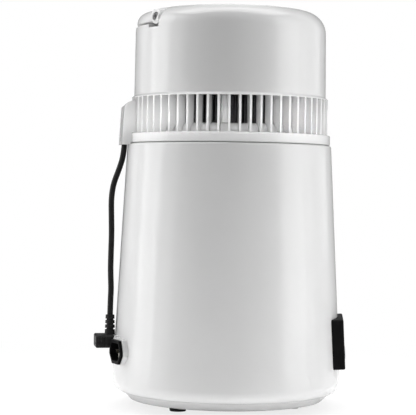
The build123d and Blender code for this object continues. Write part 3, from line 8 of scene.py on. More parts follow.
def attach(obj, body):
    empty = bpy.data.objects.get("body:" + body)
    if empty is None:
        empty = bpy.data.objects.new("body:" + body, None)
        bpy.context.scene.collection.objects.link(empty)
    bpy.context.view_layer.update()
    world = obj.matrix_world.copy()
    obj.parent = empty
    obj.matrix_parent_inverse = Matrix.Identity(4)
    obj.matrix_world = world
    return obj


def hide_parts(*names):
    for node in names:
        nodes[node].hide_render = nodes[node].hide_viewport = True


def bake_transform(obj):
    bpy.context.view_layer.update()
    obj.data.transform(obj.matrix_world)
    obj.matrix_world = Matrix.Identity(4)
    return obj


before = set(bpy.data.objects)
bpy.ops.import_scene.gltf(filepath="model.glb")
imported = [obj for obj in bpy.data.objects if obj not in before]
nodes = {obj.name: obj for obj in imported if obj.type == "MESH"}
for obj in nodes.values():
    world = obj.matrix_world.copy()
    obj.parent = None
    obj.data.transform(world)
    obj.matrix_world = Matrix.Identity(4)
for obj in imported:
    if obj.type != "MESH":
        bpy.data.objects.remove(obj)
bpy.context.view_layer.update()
scene = bpy.context.scene
scene.view_settings.view_transform = "Standard"
print("frame loaded:", len(nodes), "pieces")


# camera on the left side of the body, a little above half height
viewer = {
    "lens": 128.1,
    "sensor": 36.0,
    "distance": 1.356,
    "around": 183.4,
    "height": 0.199,
    "panLeft": 0.786,
    "tiltDown": 0.79,
    "roll": 0.8,
}


def swing(first, second, degrees):
    turn = math.radians(degrees)
    cosine, sine = math.cos(turn), math.sin(turn)
    return first * cosine + second * sine, second * cosine - first * sine


def addViewer(setup):
    data = bpy.data.cameras.new("viewer")
    data.sensor_width = setup["sensor"]
    data.lens = setup["lens"]
    camera = bpy.data.objects.new("viewer", data)
    scene.collection.objects.link(camera)
    turn = math.radians(setup["around"])
    spot = Vector((math.cos(turn), math.sin(turn), 0)) * setup["distance"]
    spot.z = setup["height"]
    up = Vector((0, 0, 1))
    ahead = Vector((-math.cos(turn), -math.sin(turn), 0))
    right = ahead.cross(up)
    right, ahead = swing(right, ahead, setup["panLeft"])
    up, ahead = swing(up, ahead, setup["tiltDown"])
    right, up = swing(right, up, setup["roll"])
    turned = Matrix((right, up, -ahead)).transposed().to_4x4()
    camera.matrix_world = Matrix.Translation(spot) @ turned
    scene.camera = camera


addViewer(viewer)
print("camera set")


# the fan's cord, on the meridian of the rear duct; radius from the axis and height, in metres
fanCord = {
    "meridian": 103.5,
    "diameter": 0.0052,
    "length": 0.1565,
    "stepsPerPoint": 10,
    "ringSteps": 5,
    "order": 3,
    "route": [
        (0.0962, 0.23805),
        (0.0969, 0.2265),
        (0.1010, 0.2135),
        (0.1059, 0.2005),
        (0.1076, 0.1870),
        (0.1072, 0.1715),
        (0.1068, 0.1550),
        (0.1072, 0.1380),
        (0.1074, 0.1215),
        (0.1066, 0.1065),
        (0.1071, 0.0955),
        (0.1073, 0.08245),
    ],
}


def onMeridian(angle, radius, height):
    turn = math.radians(angle)
    return Vector((radius * math.cos(turn), radius * math.sin(turn), height))


def cordLine(name, points, bevel):
    data = bpy.data.curves.new(name, "CURVE")
    data.dimensions = "3D"
    data.resolution_u = fanCord["stepsPerPoint"]
    data.bevel_depth = bevel
    data.bevel_resolution = fanCord["ringSteps"]
    data.use_fill_caps = True
    spline = data.splines.new("NURBS")
    spline.points.add(len(points) - 1)
    for slot, point in zip(spline.points, points):
        slot.co = (*point, 1.0)
    spline.order_u = fanCord["order"]
    spline.use_endpoint_u = True
    line = bpy.data.objects.new(name, data)
    scene.collection.objects.link(line)
    bpy.context.view_layer.update()
    ready = line.evaluated_get(bpy.context.evaluated_depsgraph_get())
    mesh = bpy.data.meshes.new_from_object(ready)
    bpy.data.objects.remove(line)
    bpy.data.curves.remove(data)
    return mesh


def addPiece(name, mesh, body=None):
    piece = bpy.data.objects.new(name, mesh)
    scene.collection.objects.link(piece)
    if body:
        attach(piece, body)
    return piece


cordPoints = [onMeridian(fanCord["meridian"], radius, height) for radius, height in fanCord["route"]]
bareLine = cordLine("bareLine", cordPoints, 0.0)
bpy.data.meshes.remove(bareLine)
cordPiece = addPiece("fanCord", cordLine("fanCord", cordPoints, fanCord["diameter"] / 2))
for face in cordPiece.data.polygons:
    face.use_smooth = True
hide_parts("fan_cord")
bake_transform(cordPiece)


# node groups shared by the finishes
def startGroup(name, inputs, outputs):
    tree = bpy.data.node_groups.new(name, "ShaderNodeTree")
    for label, kind, value in inputs:
        socket = tree.interface.new_socket(name=label, in_out="INPUT", socket_type="NodeSocket" + kind)
        socket.default_value = value
    for label, kind in outputs:
        tree.interface.new_socket(name=label, in_out="OUTPUT", socket_type="NodeSocket" + kind)
    return tree, tree.nodes.new("NodeGroupInput"), tree.nodes.new("NodeGroupOutput")


def addNode(tree, kind, settings=None, **values):
    node = tree.nodes.new("ShaderNode" + kind)
    for key, value in (settings or {}).items():
        setattr(node, key, value)
    for key, value in values.items():
        node.inputs[key].default_value = value
    return node


def mapRange(tree, source, low, high, toLow=0.0, toHigh=1.0):
    node = addNode(tree, "MapRange")
    node.inputs["From Min"].default_value = low
    node.inputs["From Max"].default_value = high
    for label, value in (("To Min", toLow), ("To Max", toHigh)):
        if isinstance(value, float):
            node.inputs[label].default_value = value
        else:
            tree.links.new(value, node.inputs[label])
    tree.links.new(source, node.inputs["Value"])
    return node.outputs["Result"]


def mathNode(tree, operation, first, second):
    node = addNode(tree, "Math", {"operation": operation})
    for slot, value in zip(node.inputs, (first, second)):
        if isinstance(value, (int, float)):
            slot.default_value = value
        else:
            tree.links.new(value, slot)
    return node.outputs[0]


# places of the colour sockets on a mix node
mixSockets = {"factor": 0, "first": 6, "second": 7, "result": 2}


def mixColour(tree, factor, first, second):
    node = addNode(tree, "Mix", {"data_type": "RGBA"})
    for label, value in (("factor", factor), ("first", first), ("second", second)):
        slot = node.inputs[mixSockets[label]]
        if isinstance(value, (int, float, tuple)):
            slot.default_value = value
        else:
            tree.links.new(value, slot)
    return node.outputs[mixSockets["result"]]


def weighted(tree, first, firstShare, second, secondShare):
    return mathNode(tree, "ADD", mathNode(tree, "MULTIPLY", first, firstShare),
                    mathNode(tree, "MULTIPLY", second, secondShare))


mouldSkinNoise = {
    "patch": {"Detail": 3.0, "Roughness": 0.55},
    "grain": {"Detail": 2.0, "Roughness": 0.6},
    "driftSpan": (0.3, 0.7),
    "patchShare": 0.6,
    "grainShare": 0.4,
    "roughSpan": (0.35, 0.65),
}


def buildMouldSkin():
    tree, entry, leave = startGroup(
        "mouldSkin",
        [
            ("Pale", "Color", (0.8, 0.8, 0.8, 1)),
            ("Deep", "Color", (0.7, 0.7, 0.7, 1)),
            ("Patch", "Float", 25.0),
            ("Grain", "Float", 1500.0),
            ("RoughLow", "Float", 0.3),
            ("RoughHigh", "Float", 0.4),
        ],
        [("Colour", "Color"), ("Rough", "Float"), ("Height", "Float")],
    )
    place = addNode(tree, "TexCoord").outputs["Object"]
    patch = addNode(tree, "TexNoise", **mouldSkinNoise["patch"])
    grain = addNode(tree, "TexNoise", **mouldSkinNoise["grain"])
    for node, label in ((patch, "Patch"), (grain, "Grain")):
        tree.links.new(place, node.inputs["Vector"])
        tree.links.new(entry.outputs[label], node.inputs["Scale"])
    drift = mapRange(tree, patch.outputs[0], *mouldSkinNoise["driftSpan"])
    shade = mixColour(tree, drift, entry.outputs["Pale"], entry.outputs["Deep"])
    tree.links.new(shade, leave.inputs["Colour"])
    both = weighted(tree, patch.outputs[0], mouldSkinNoise["patchShare"],
                    grain.outputs[0], mouldSkinNoise["grainShare"])
    rough = mapRange(tree, both, *mouldSkinNoise["roughSpan"],
                     entry.outputs["RoughLow"], entry.outputs["RoughHigh"])
    tree.links.new(rough, leave.inputs["Rough"])
    tree.links.new(grain.outputs[0], leave.inputs["Height"])
    return tree


scuffNoise = {
    "stretch": {"Scale": (1.0, 1.0, 0.22), "Rotation": (0.3, 0.5, 0.2)},
    "fine": {"Detail": 6.0, "Roughness": 0.7, "Distortion": 1.2},
    "wide": {"Detail": 2.0},
    "wideShare": 0.15,
    "fineSpan": (0.56, 0.68),
    "wideSpan": (0.45, 0.6),
}


def buildScuffs():
    tree, entry, leave = startGroup(
        "scuffs",
        [("Scale", "Float", 120.0), ("Cover", "Float", 0.5)],
        [("Mask", "Float")],
    )
    place = addNode(tree, "TexCoord").outputs["Object"]
    stretch = addNode(tree, "Mapping", **scuffNoise["stretch"])
    tree.links.new(place, stretch.inputs["Vector"])
    fine = addNode(tree, "TexNoise", **scuffNoise["fine"])
    tree.links.new(stretch.outputs["Vector"], fine.inputs["Vector"])
    tree.links.new(entry.outputs["Scale"], fine.inputs["Scale"])
    wide = addNode(tree, "TexNoise", **scuffNoise["wide"])
    tree.links.new(place, wide.inputs["Vector"])
    wideScale = mathNode(tree, "MULTIPLY", entry.outputs["Scale"], scuffNoise["wideShare"])
    tree.links.new(wideScale, wide.inputs["Scale"])
    mask = mathNode(tree, "MULTIPLY", mapRange(tree, fine.outputs[0], *scuffNoise["fineSpan"]),
                    mapRange(tree, wide.outputs[0], *scuffNoise["wideSpan"]))
    tree.links.new(mathNode(tree, "MULTIPLY", mask, entry.outputs["Cover"]), leave.inputs["Mask"])
    return tree


dustNoise = {
    "speck": {"Detail": 4.0, "Roughness": 0.65},
    "upwardSpan": (0.35, 1.0),
    "speckSpan": (0.4, 0.7),
}


def buildDustFall():
    tree, entry, leave = startGroup(
        "dustFall", [("Cover", "Float", 0.3), ("Speck", "Float", 900.0)], [("Mask", "Float")]
    )
    geometry = addNode(tree, "NewGeometry")
    upward = addNode(tree, "SeparateXYZ")
    tree.links.new(geometry.outputs["Normal"], upward.inputs[0])
    place = addNode(tree, "TexCoord").outputs["Object"]
    speck = addNode(tree, "TexNoise", **dustNoise["speck"])
    tree.links.new(place, speck.inputs["Vector"])
    tree.links.new(entry.outputs["Speck"], speck.inputs["Scale"])
    lying = mathNode(tree, "MULTIPLY", mapRange(tree, upward.outputs["Z"], *dustNoise["upwardSpan"]),
                     mapRange(tree, speck.outputs[0], *dustNoise["speckSpan"]))
    tree.links.new(mathNode(tree, "MULTIPLY", lying, entry.outputs["Cover"]), leave.inputs["Mask"])
    return tree


edgeNoise = {
    "samples": 4,
    "broken": {"Scale": 260.0, "Detail": 3.0},
    "edgeSpan": (0.99, 0.85),
    "brokenSpan": (0.35, 0.6, 0.35, 1.0),
}


# lighter colour along rounded edges: partly rubbed wear, partly a painted highlight where light catches the
# edges
def buildEdgeRubAndHighlight():
    tree, entry, leave = startGroup(
        "edgeRubAndHighlight", [("Width", "Float", 0.0006), ("Cover", "Float", 0.4)], [("Mask", "Float")]
    )
    rounded = addNode(tree, "Bevel", {"samples": edgeNoise["samples"]})
    tree.links.new(entry.outputs["Width"], rounded.inputs["Radius"])
    agree = addNode(tree, "VectorMath", {"operation": "DOT_PRODUCT"})
    tree.links.new(rounded.outputs["Normal"], agree.inputs[0])
    tree.links.new(addNode(tree, "NewGeometry").outputs["Normal"], agree.inputs[1])
    broken = addNode(tree, "TexNoise", **edgeNoise["broken"])
    tree.links.new(addNode(tree, "TexCoord").outputs["Object"], broken.inputs["Vector"])
    edge = mathNode(tree, "MULTIPLY", mapRange(tree, agree.outputs["Value"], *edgeNoise["edgeSpan"]),
                    mapRange(tree, broken.outputs[0], *edgeNoise["brokenSpan"]))
    tree.links.new(mathNode(tree, "MULTIPLY", edge, entry.outputs["Cover"]), leave.inputs["Mask"])
    return tree


drawnNoise = {
    "lines": {"Detail": 4.0, "Roughness": 0.65},
    "cloud": {"Detail": 3.0, "Scale": 35.0},
    "linesShare": 0.7,
    "cloudShare": 0.3,
    "span": (0.35, 0.65),
}


def buildDrawnLines():
    tree, entry, leave = startGroup(
        "drawnLines",
        [
            ("Pale", "Color", (0.7, 0.7, 0.7, 1)),
            ("Deep", "Color", (0.55, 0.55, 0.55, 1)),
            ("Scale", "Float", 400.0),
            ("Across", "Vector", (1.0, 1.0, 12.0)),
            ("RoughLow", "Float", 0.2),
            ("RoughHigh", "Float", 0.4),
        ],
        [("Colour", "Color"), ("Rough", "Float"), ("Height", "Float")],
    )
    place = addNode(tree, "TexCoord").outputs["Object"]
    stretch = addNode(tree, "VectorMath", {"operation": "MULTIPLY"})
    tree.links.new(place, stretch.inputs[0])
    tree.links.new(entry.outputs["Across"], stretch.inputs[1])
    lines = addNode(tree, "TexNoise", **drawnNoise["lines"])
    tree.links.new(stretch.outputs[0], lines.inputs["Vector"])
    tree.links.new(entry.outputs["Scale"], lines.inputs["Scale"])
    cloud = addNode(tree, "TexNoise", **drawnNoise["cloud"])
    tree.links.new(place, cloud.inputs["Vector"])
    both = weighted(tree, lines.outputs[0], drawnNoise["linesShare"],
                    cloud.outputs[0], drawnNoise["cloudShare"])
    drift = mapRange(tree, both, *drawnNoise["span"])
    shade = mixColour(tree, drift, entry.outputs["Pale"], entry.outputs["Deep"])
    tree.links.new(shade, leave.inputs["Colour"])
    rough = mapRange(tree, both, *drawnNoise["span"], entry.outputs["RoughLow"], entry.outputs["RoughHigh"])
    tree.links.new(rough, leave.inputs["Rough"])
    tree.links.new(lines.outputs[0], leave.inputs["Height"])
    return tree


mouldSkin = buildMouldSkin()
scuffs = buildScuffs()
dustFall = buildDustFall()
edgeRubAndHighlight = buildEdgeRubAndHighlight()
drawnLines = buildDrawnLines()
print("node groups built")


def colour(tint):
    return (*tint, 1.0)


def placeGroup(tree, group, **values):
    node = tree.nodes.new("ShaderNodeGroup")
    node.node_tree = group
    for key, value in values.items():
        node.inputs[key].default_value = value
    return node


def startFinish(name):
    material = bpy.data.materials.new(name)
    material.use_nodes = True
    tree = material.node_tree
    return material, tree, tree.nodes["Principled BSDF"]


def addBump(tree, shader, height, strength, depth):
    bump = addNode(tree, "Bump", Strength=strength, Distance=depth)
    tree.links.new(height, bump.inputs["Height"])
    tree.links.new(bump.outputs["Normal"], shader.inputs["Normal"])


def addScuffs(tree, look, base, rough):
    mask = placeGroup(tree, scuffs, Scale=look["scuffScale"], Cover=look["scuff"]).outputs["Mask"]
    base = mixColour(tree, mask, base, colour(look["scuffColour"]))
    return base, mathNode(tree, "ADD", rough, mathNode(tree, "MULTIPLY", mask, look["scuffRough"]))


plasticIndex = 1.5
stripeBlur = 0.05


def mouldedFinish(name, look):
    material, tree, shader = startFinish(name)
    skin = placeGroup(tree, mouldSkin, Pale=colour(look["pale"]), Deep=colour(look["deep"]),
                      Patch=look["patch"], Grain=look["grain"],
                      RoughLow=look["rough"][0], RoughHigh=look["rough"][1])
    base = skin.outputs["Colour"]
    rough = skin.outputs["Rough"]
    if "scuff" in look:
        base, rough = addScuffs(tree, look, base, rough)
    # edges painted lighter: partly rubbed wear, partly painted highlight along the rounded edges
    if "edge" in look:
        rubbedAndHighlit = placeGroup(tree, edgeRubAndHighlight, Width=look["edgeWidth"], Cover=look["edge"])
        base = mixColour(tree, rubbedAndHighlit.outputs["Mask"], base, colour(look["edgeRubHighlightColour"]))
    if "stripe" in look:
        facing = addNode(tree, "VectorMath", {"operation": "DOT_PRODUCT"})
        facing.inputs[1].default_value = look["stripe"]
        tree.links.new(addNode(tree, "NewGeometry").outputs["Normal"], facing.inputs[0])
        side = mapRange(tree, facing.outputs["Value"], -stripeBlur, stripeBlur)
        base = mixColour(tree, side, base, colour(look["stripeColour"]))
    if "dust" in look:
        fallen = placeGroup(tree, dustFall, Cover=look["dust"], Speck=look["speck"])
        base = mixColour(tree, fallen.outputs["Mask"], base, colour(look["dustColour"]))
        dull = mathNode(tree, "MULTIPLY", fallen.outputs["Mask"], look["dustRough"])
        rough = mathNode(tree, "ADD", rough, dull)
    tree.links.new(base, shader.inputs["Base Color"])
    tree.links.new(rough, shader.inputs["Roughness"])
    shader.inputs["IOR"].default_value = plasticIndex
    if "specular" in look:
        shader.inputs["Specular IOR Level"].default_value = look["specular"]
    if "glow" in look:  # light that soaks into thin white walls
        shader.inputs["Subsurface Weight"].default_value = look["glow"]
        shader.inputs["Subsurface Radius"].default_value = (1.0, 1.0, 1.0)
        shader.inputs["Subsurface Scale"].default_value = look["glowDepth"]
    addBump(tree, shader, skin.outputs["Height"], look["bump"], look["bumpDepth"])
    return material


def metalFinish(name, look):
    material, tree, shader = startFinish(name)
    lines = placeGroup(tree, drawnLines, Pale=colour(look["pale"]), Deep=colour(look["deep"]),
                       Scale=look["scale"], Across=look["across"], RoughLow=look["rough"][0],
                       RoughHigh=look["rough"][1])
    base = lines.outputs["Colour"]
    rough = lines.outputs["Rough"]
    if "scuff" in look:
        base, rough = addScuffs(tree, look, base, rough)
    tree.links.new(base, shader.inputs["Base Color"])
    tree.links.new(rough, shader.inputs["Roughness"])
    shader.inputs["Metallic"].default_value = 1.0
    addBump(tree, shader, lines.outputs["Height"], look["bump"], look["bumpDepth"])
    return material


def dress(material, *names):
    for name in names:
        piece = nodes[name] if isinstance(name, str) else name
        piece.data.materials.clear()
        piece.data.materials.append(material)


# white shell mouldings: housing, bottom tray, dome, duct and handle
shellWhite = {
    "pale": (0.83, 0.83, 0.83),
    "deep": (0.80, 0.80, 0.80),
    "patch": 14.0,
    "grain": 1900.0,
    "rough": (0.13, 0.18),
    "bump": 0.04,
    "bumpDepth": 0.0002,
    "scuff": 0.10,
    "scuffScale": 60.0,
    "scuffColour": (0.76, 0.76, 0.755),
    "scuffRough": 0.18,
    "glow": 0.5,
    "glowDepth": 0.004,
}
dress(mouldedFinish("shellWhite", shellWhite),
      "body_housing", "base_tray", "dome_shell", "rear_duct", "handle", "condenser_tray", "outlet_port")

# black boxes and sockets, spark-eroded plastic
boxBlack = {
    "pale": (0.0032, 0.0032, 0.0034),
    "deep": (0.0055, 0.0055, 0.0058),
    "specular": 0.06,
    "patch": 60.0,
    "grain": 2600.0,
    "rough": (0.38, 0.52),
    "bump": 0.22,
    "bumpDepth": 0.0002,
    "scuff": 0.35,
    "scuffScale": 170.0,
    "scuffColour": (0.016, 0.016, 0.016),
    "edge": 0.4,
    "edgeWidth": 0.0007,
    "edgeRubHighlightColour": (0.05, 0.05, 0.05),
    "scuffRough": 0.15,
    "dust": 0.15,
    "speck": 1400.0,
    "dustColour": (0.09, 0.09, 0.088),
    "dustRough": 0.35,
}
dress(mouldedFinish("boxBlack", boxBlack),
      "panel_housing", "mains_inlet", "fan_outlet", "cord_gland", "display_module", "key_switches")

# soft black vinyl of the cord and its plug
vinylBlack = {
    "pale": (0.006, 0.006, 0.006),
    "deep": (0.011, 0.011, 0.011),
    "specular": 0.16,
    "patch": 80.0,
    "grain": 1200.0,
    "rough": (0.36, 0.50),
    "bump": 0.18,
    "bumpDepth": 0.0003,
    "scuff": 0.30,
    "scuffScale": 220.0,
    "scuffColour": (0.028, 0.028, 0.028),
    "edge": 0.35,
    "edgeWidth": 0.0006,
    "edgeRubHighlightColour": (0.06, 0.06, 0.06),
    "scuffRough": 0.2,
    "dust": 0.2,
    "speck": 1100.0,
    "dustColour": (0.12, 0.12, 0.117),
    "dustRough": 0.35,
}
vinyl = mouldedFinish("vinylBlack", vinylBlack)
dress(vinyl, "fan_plug", "fan_cord", "fan_lead", "outlet_cable", "panel_cable", cordPiece)

# rubber feet
footRubber = {
    "pale": (0.018, 0.018, 0.018),
    "deep": (0.032, 0.031, 0.030),
    "patch": 120.0,
    "grain": 900.0,
    "rough": (0.65, 0.85),
    "bump": 0.35,
    "bumpDepth": 0.0004,
}
dress(mouldedFinish("footRubber", footRubber), "feet")

# silicone seal
sealSilicone = {
    "pale": (0.74, 0.74, 0.72),
    "deep": (0.66, 0.66, 0.63),
    "patch": 40.0,
    "grain": 1000.0,
    "rough": (0.45, 0.6),
    "bump": 0.1,
    "bumpDepth": 0.0003,
}
dress(mouldedFinish("sealSilicone", sealSilicone), "lid_seal")

# fan blades and thermostats
fanBlack = {
    "pale": (0.05, 0.05, 0.05),
    "deep": (0.08, 0.08, 0.08),
    "patch": 50.0,
    "grain": 1500.0,
    "rough": (0.4, 0.55),
    "bump": 0.15,
    "bumpDepth": 0.0003,
    "dust": 0.4,
    "speck": 800.0,
    "dustColour": (0.25, 0.24, 0.22),
    "dustRough": 0.35,
}
dress(mouldedFinish("fanBlack", fanBlack), "fan_blade")
bakedBrown = {
    "pale": (0.045, 0.036, 0.030),
    "deep": (0.080, 0.062, 0.050),
    "patch": 150.0,
    "grain": 1200.0,
    "rough": (0.5, 0.65),
    "bump": 0.3,
    "bumpDepth": 0.0003,
}
dress(mouldedFinish("bakedBrown", bakedBrown), "boil_thermostat", "thermal_cutout")

# wire jackets
wireBrown = {
    **vinylBlack,
    "pale": (0.19, 0.085, 0.04),
    "deep": (0.14, 0.06, 0.03),
    "scuffColour": (0.26, 0.13, 0.07),
    "edgeRubHighlightColour": (0.28, 0.15, 0.09),
}
dress(mouldedFinish("wireBrown", wireBrown), "live_wire")
wireBlue = {
    **vinylBlack,
    "pale": (0.04, 0.10, 0.40),
    "deep": (0.03, 0.07, 0.30),
    "scuffColour": (0.10, 0.18, 0.48),
    "edgeRubHighlightColour": (0.12, 0.20, 0.50),
}
dress(mouldedFinish("wireBlue", wireBlue), "neutral_wire")
wireStriped = {
    **vinylBlack,
    "pale": (0.05, 0.30, 0.06),
    "deep": (0.04, 0.24, 0.05),
    "scuffColour": (0.12, 0.34, 0.10),
    "edgeRubHighlightColour": (0.14, 0.36, 0.12),
    "stripe": (0.6, 0.8, 0.0),
    "stripeColour": (0.72, 0.55, 0.03),
}
dress(mouldedFinish("wireStriped", wireStriped), "earth_wire")

# circuit board, smoked window and grey buttons
boardGreen = {
    "pale": (0.02, 0.14, 0.05),
    "deep": (0.03, 0.20, 0.08),
    "patch": 260.0,
    "grain": 2500.0,
    "rough": (0.25, 0.4),
    "bump": 0.2,
    "bumpDepth": 0.0002,
}
dress(mouldedFinish("boardGreen", boardGreen), "control_board")
windowSmoke = {
    "pale": (0.008, 0.008, 0.010),
    "deep": (0.014, 0.014, 0.017),
    "patch": 30.0,
    "grain": 3000.0,
    "rough": (0.05, 0.10),
    "bump": 0.02,
    "bumpDepth": 0.0001,
    "scuff": 0.15,
    "scuffScale": 240.0,
    "scuffColour": (0.03, 0.03, 0.032),
    "scuffRough": 0.12,
}
dress(mouldedFinish("windowSmoke", windowSmoke), "panel_window")
keyGrey = {
    "pale": (0.33, 0.335, 0.34),
    "deep": (0.28, 0.285, 0.29),
    "patch": 90.0,
    "grain": 2200.0,
    "rough": (0.38, 0.5),
    "bump": 0.15,
    "bumpDepth": 0.0002,
    "scuff": 0.3,
    "scuffScale": 300.0,
    "scuffColour": (0.42, 0.42, 0.42),
    "scuffRough": 0.1,
}
dress(mouldedFinish("keyGrey", keyGrey), "power_button", "set_button", "minus_button", "plus_button")

# metals: pot and cover, tubes, plated pieces, blackened handle screws, aluminium, nickel pins
potSteel = {
    "pale": (0.66, 0.66, 0.65),
    "deep": (0.54, 0.54, 0.53),
    "scale": 60.0,
    "across": (1.0, 1.0, 30.0),
    "rough": (0.18, 0.32),
    "bump": 0.08,
    "bumpDepth": 0.0002,
    "scuff": 0.3,
    "scuffScale": 90.0,
    "scuffColour": (0.72, 0.70, 0.66),
    "scuffRough": 0.15,
}
dress(metalFinish("potSteel", potSteel), "boil_chamber", "steam_cover")
tubeSteel = dict(potSteel, scale=200.0, across=(1.0, 1.0, 1.0), rough=(0.2, 0.36))
dress(metalFinish("tubeSteel", tubeSteel), "condenser_coil", "heater_element")
platedSteel = {
    "pale": (0.60, 0.60, 0.59),
    "deep": (0.46, 0.46, 0.45),
    "scale": 700.0,
    "across": (1.0, 1.0, 1.0),
    "rough": (0.22, 0.4),
    "bump": 0.12,
    "bumpDepth": 0.0001,
    "scuff": 0.4,
    "scuffScale": 400.0,
    "scuffColour": (0.40, 0.39, 0.36),
    "scuffRough": 0.2,
}
dress(metalFinish("platedSteel", platedSteel),
      "base_screws", "heater_clamp", "clamp_nut", "thermostat_screws", "panel_screws", "motor_screws",
      "dome_screws", "motor_shaft", "fan_clip", "motor_bracket", "fan_motor")
screwDark = dict(platedSteel, pale=(0.10, 0.10, 0.10), deep=(0.04, 0.04, 0.04), scuffColour=(0.2, 0.2, 0.2))
dress(metalFinish("screwDark", screwDark), "pivot_screws")
finAluminium = {
    "pale": (0.60, 0.61, 0.62),
    "deep": (0.48, 0.49, 0.50),
    "scale": 250.0,
    "across": (1.0, 1.0, 6.0),
    "rough": (0.3, 0.5),
    "bump": 0.1,
    "bumpDepth": 0.0002,
}
dress(metalFinish("finAluminium", finAluminium), "heater_plate")
# condenser fins: the same aluminium as the heater plate, painted much darker as painted shade for their
# place deep inside the dome
finPaintedShade = dict(finAluminium, pale=(0.30, 0.30, 0.305), deep=(0.17, 0.17, 0.174), rough=(0.45, 0.6))
dress(metalFinish("finPaintedShade", finPaintedShade), "condenser_fins")
pinNickel = {
    "pale": (0.74, 0.71, 0.64),
    "deep": (0.62, 0.59, 0.52),
    "scale": 500.0,
    "across": (8.0, 8.0, 1.0),
    "rough": (0.15, 0.3),
    "bump": 0.08,
    "bumpDepth": 0.0001,
}
dress(metalFinish("pinNickel", pinNickel), "inlet_pins", "outlet_pins", "plug_contacts")
print("finishes dressed:", len(bpy.data.materials))


# printed signs on the buttons and the unlit digits of the display, thin films on the panel's faces
panelFace = {"normal": (0.0, -0.998628, 0.052361), "sunk": 0.00003, "film": 0.00006, "unit": 0.001}
signInk = {
    "pale": (0.020, 0.020, 0.021),
    "deep": (0.035, 0.035, 0.036),
    "patch": 400.0,
    "grain": 2500.0,
    "rough": (0.45, 0.6),
    "bump": 0.1,
    "bumpDepth": 0.0001,
    "scuff": 0.35,
    "scuffScale": 700.0,
    "scuffColour": (0.09, 0.09, 0.09),
    "scuffRough": 0.1,
}
unlitGlass = {
    "pale": (0.034, 0.031, 0.030),
    "deep": (0.025, 0.023, 0.023),
    "patch": 300.0,
    "grain": 2500.0,
    "rough": (0.12, 0.2),
    "bump": 0.03,
    "bumpDepth": 0.0001,
}


def faceAxes(setup):
    normal = Vector(setup["normal"]).normalized()
    across = Vector((1.0, 0.0, 0.0))
    return across, normal.cross(across), normal


def faceMiddle(name):
    spots = [vertex.co for vertex in nodes[name].data.vertices]
    across, upward, normal = faceAxes(panelFace)
    middle = normal * max(spot.dot(normal) for spot in spots)
    for axis in (across, upward):
        reach = [spot.dot(axis) for spot in spots]
        middle += axis * (min(reach) + max(reach)) / 2
    return middle


def bar(left, low, right, high):
    return [(left, low), (right, low), (right, high), (left, high)]


def arcBand(inner, outer, start, end, steps=20):
    turns = [math.radians(start + (end - start) * step / steps) for step in range(steps + 1)]
    outside = [(outer * math.cos(turn), outer * math.sin(turn)) for turn in turns]
    inside = [(inner * math.cos(turn), inner * math.sin(turn)) for turn in reversed(turns)]
    return outside + inside


def filmPiece(name, outlines, carrier, body, material):
    across, upward, normal = faceAxes(panelFace)
    middle = faceMiddle(carrier)
    form = bmesh.new()
    for outline in outlines:
        flat = [middle + (across * left + upward * up) * panelFace["unit"] for left, up in outline]
        lower = [form.verts.new(spot - normal * panelFace["sunk"]) for spot in flat]
        upper = [form.verts.new(spot + normal * panelFace["film"]) for spot in flat]
        form.faces.new(list(reversed(lower)))
        form.faces.new(upper)
        for here in range(len(flat)):
            after = (here + 1) % len(flat)
            form.faces.new((lower[here], lower[after], upper[after], upper[here]))
    mesh = bpy.data.meshes.new(name)
    form.to_mesh(mesh)
    form.free()
    mesh.materials.append(material)
    addPiece(name, mesh, body)


# outlines in millimetres from the middle of each face
buttonSigns = {
    "power": [arcBand(2.0, 2.55, 120.0, 420.0), bar(-0.28, 0.7, 0.28, 2.9)],
    "set": [
        arcBand(2.1, 2.55, 0.0, 180.0),
        arcBand(2.1, 2.55, 180.0, 360.0),
        [(-0.2, 1.5), (-0.2, -0.2), (1.2, -0.2), (1.2, 0.2), (0.2, 0.2), (0.2, 1.5)],
    ],
    "minus": [bar(-2.2, -0.3, 2.2, 0.3)],
    "plus": [[
        (-2.2, -0.3), (-0.3, -0.3), (-0.3, -2.2), (0.3, -2.2), (0.3, -0.3), (2.2, -0.3),
        (2.2, 0.3), (0.3, 0.3), (0.3, 2.2), (-0.3, 2.2), (-0.3, 0.3), (-2.2, 0.3),
    ]],
}
signFinish = mouldedFinish("signInk", signInk)
for signName, signOutlines in buttonSigns.items():
    button = signName + "_button"
    filmPiece(signName + "Sign", signOutlines, button, button, signFinish)

displayDigits = {
    "places": (-12.6, -5.2, 5.2, 12.6),
    "width": 4.4,
    "height": 8.4,
    "stroke": 0.8,
    "gap": 0.14,
    "dotHalf": 0.48,
    "dotRise": 1.89,
}


def strokeAlong(first, second, half):
    along = Vector((second[0] - first[0], second[1] - first[1])).normalized()
    side = Vector((-along.y, along.x)) * half
    start, end = Vector(first), Vector(second)
    bevel = along * half
    shape = [start, start + bevel - side, end - bevel - side, end, end - bevel + side, start + bevel + side]
    return [tuple(spot) for spot in shape]


def digitOutlines(setup):
    half = setup["width"] / 2
    tall = setup["height"] / 2
    gap = setup["gap"]
    strokes = [((-half + gap, level), (half - gap, level)) for level in (-tall, 0.0, tall)]
    for side in (-half, half):
        strokes += [((side, -tall + gap), (side, -gap)), ((side, gap), (side, tall - gap))]
    shapes = []
    for place in setup["places"]:
        for first, second in strokes:
            outline = strokeAlong(first, second, setup["stroke"] / 2)
            shapes.append([(left + place, up) for left, up in outline])
    dot = setup["dotHalf"]
    for level in (-setup["dotRise"], setup["dotRise"]):
        shapes.append(bar(-dot, level - dot, dot, level + dot))
    return shapes


filmPiece("displayDigits", digitOutlines(displayDigits), "panel_window", "base",
          mouldedFinish("unlitGlass", unlitGlass))
print("panel signs placed")


# paper floor, which runs out to plain white between the two radii in fade
floorPaper = {
    "half": 8.0,
    "cells": 8,
    "tone": (0.88, 0.88, 0.88),
    "rough": 0.9,
    "whitenNear": 0.80,
    "fade": (0.14, 0.55),
}


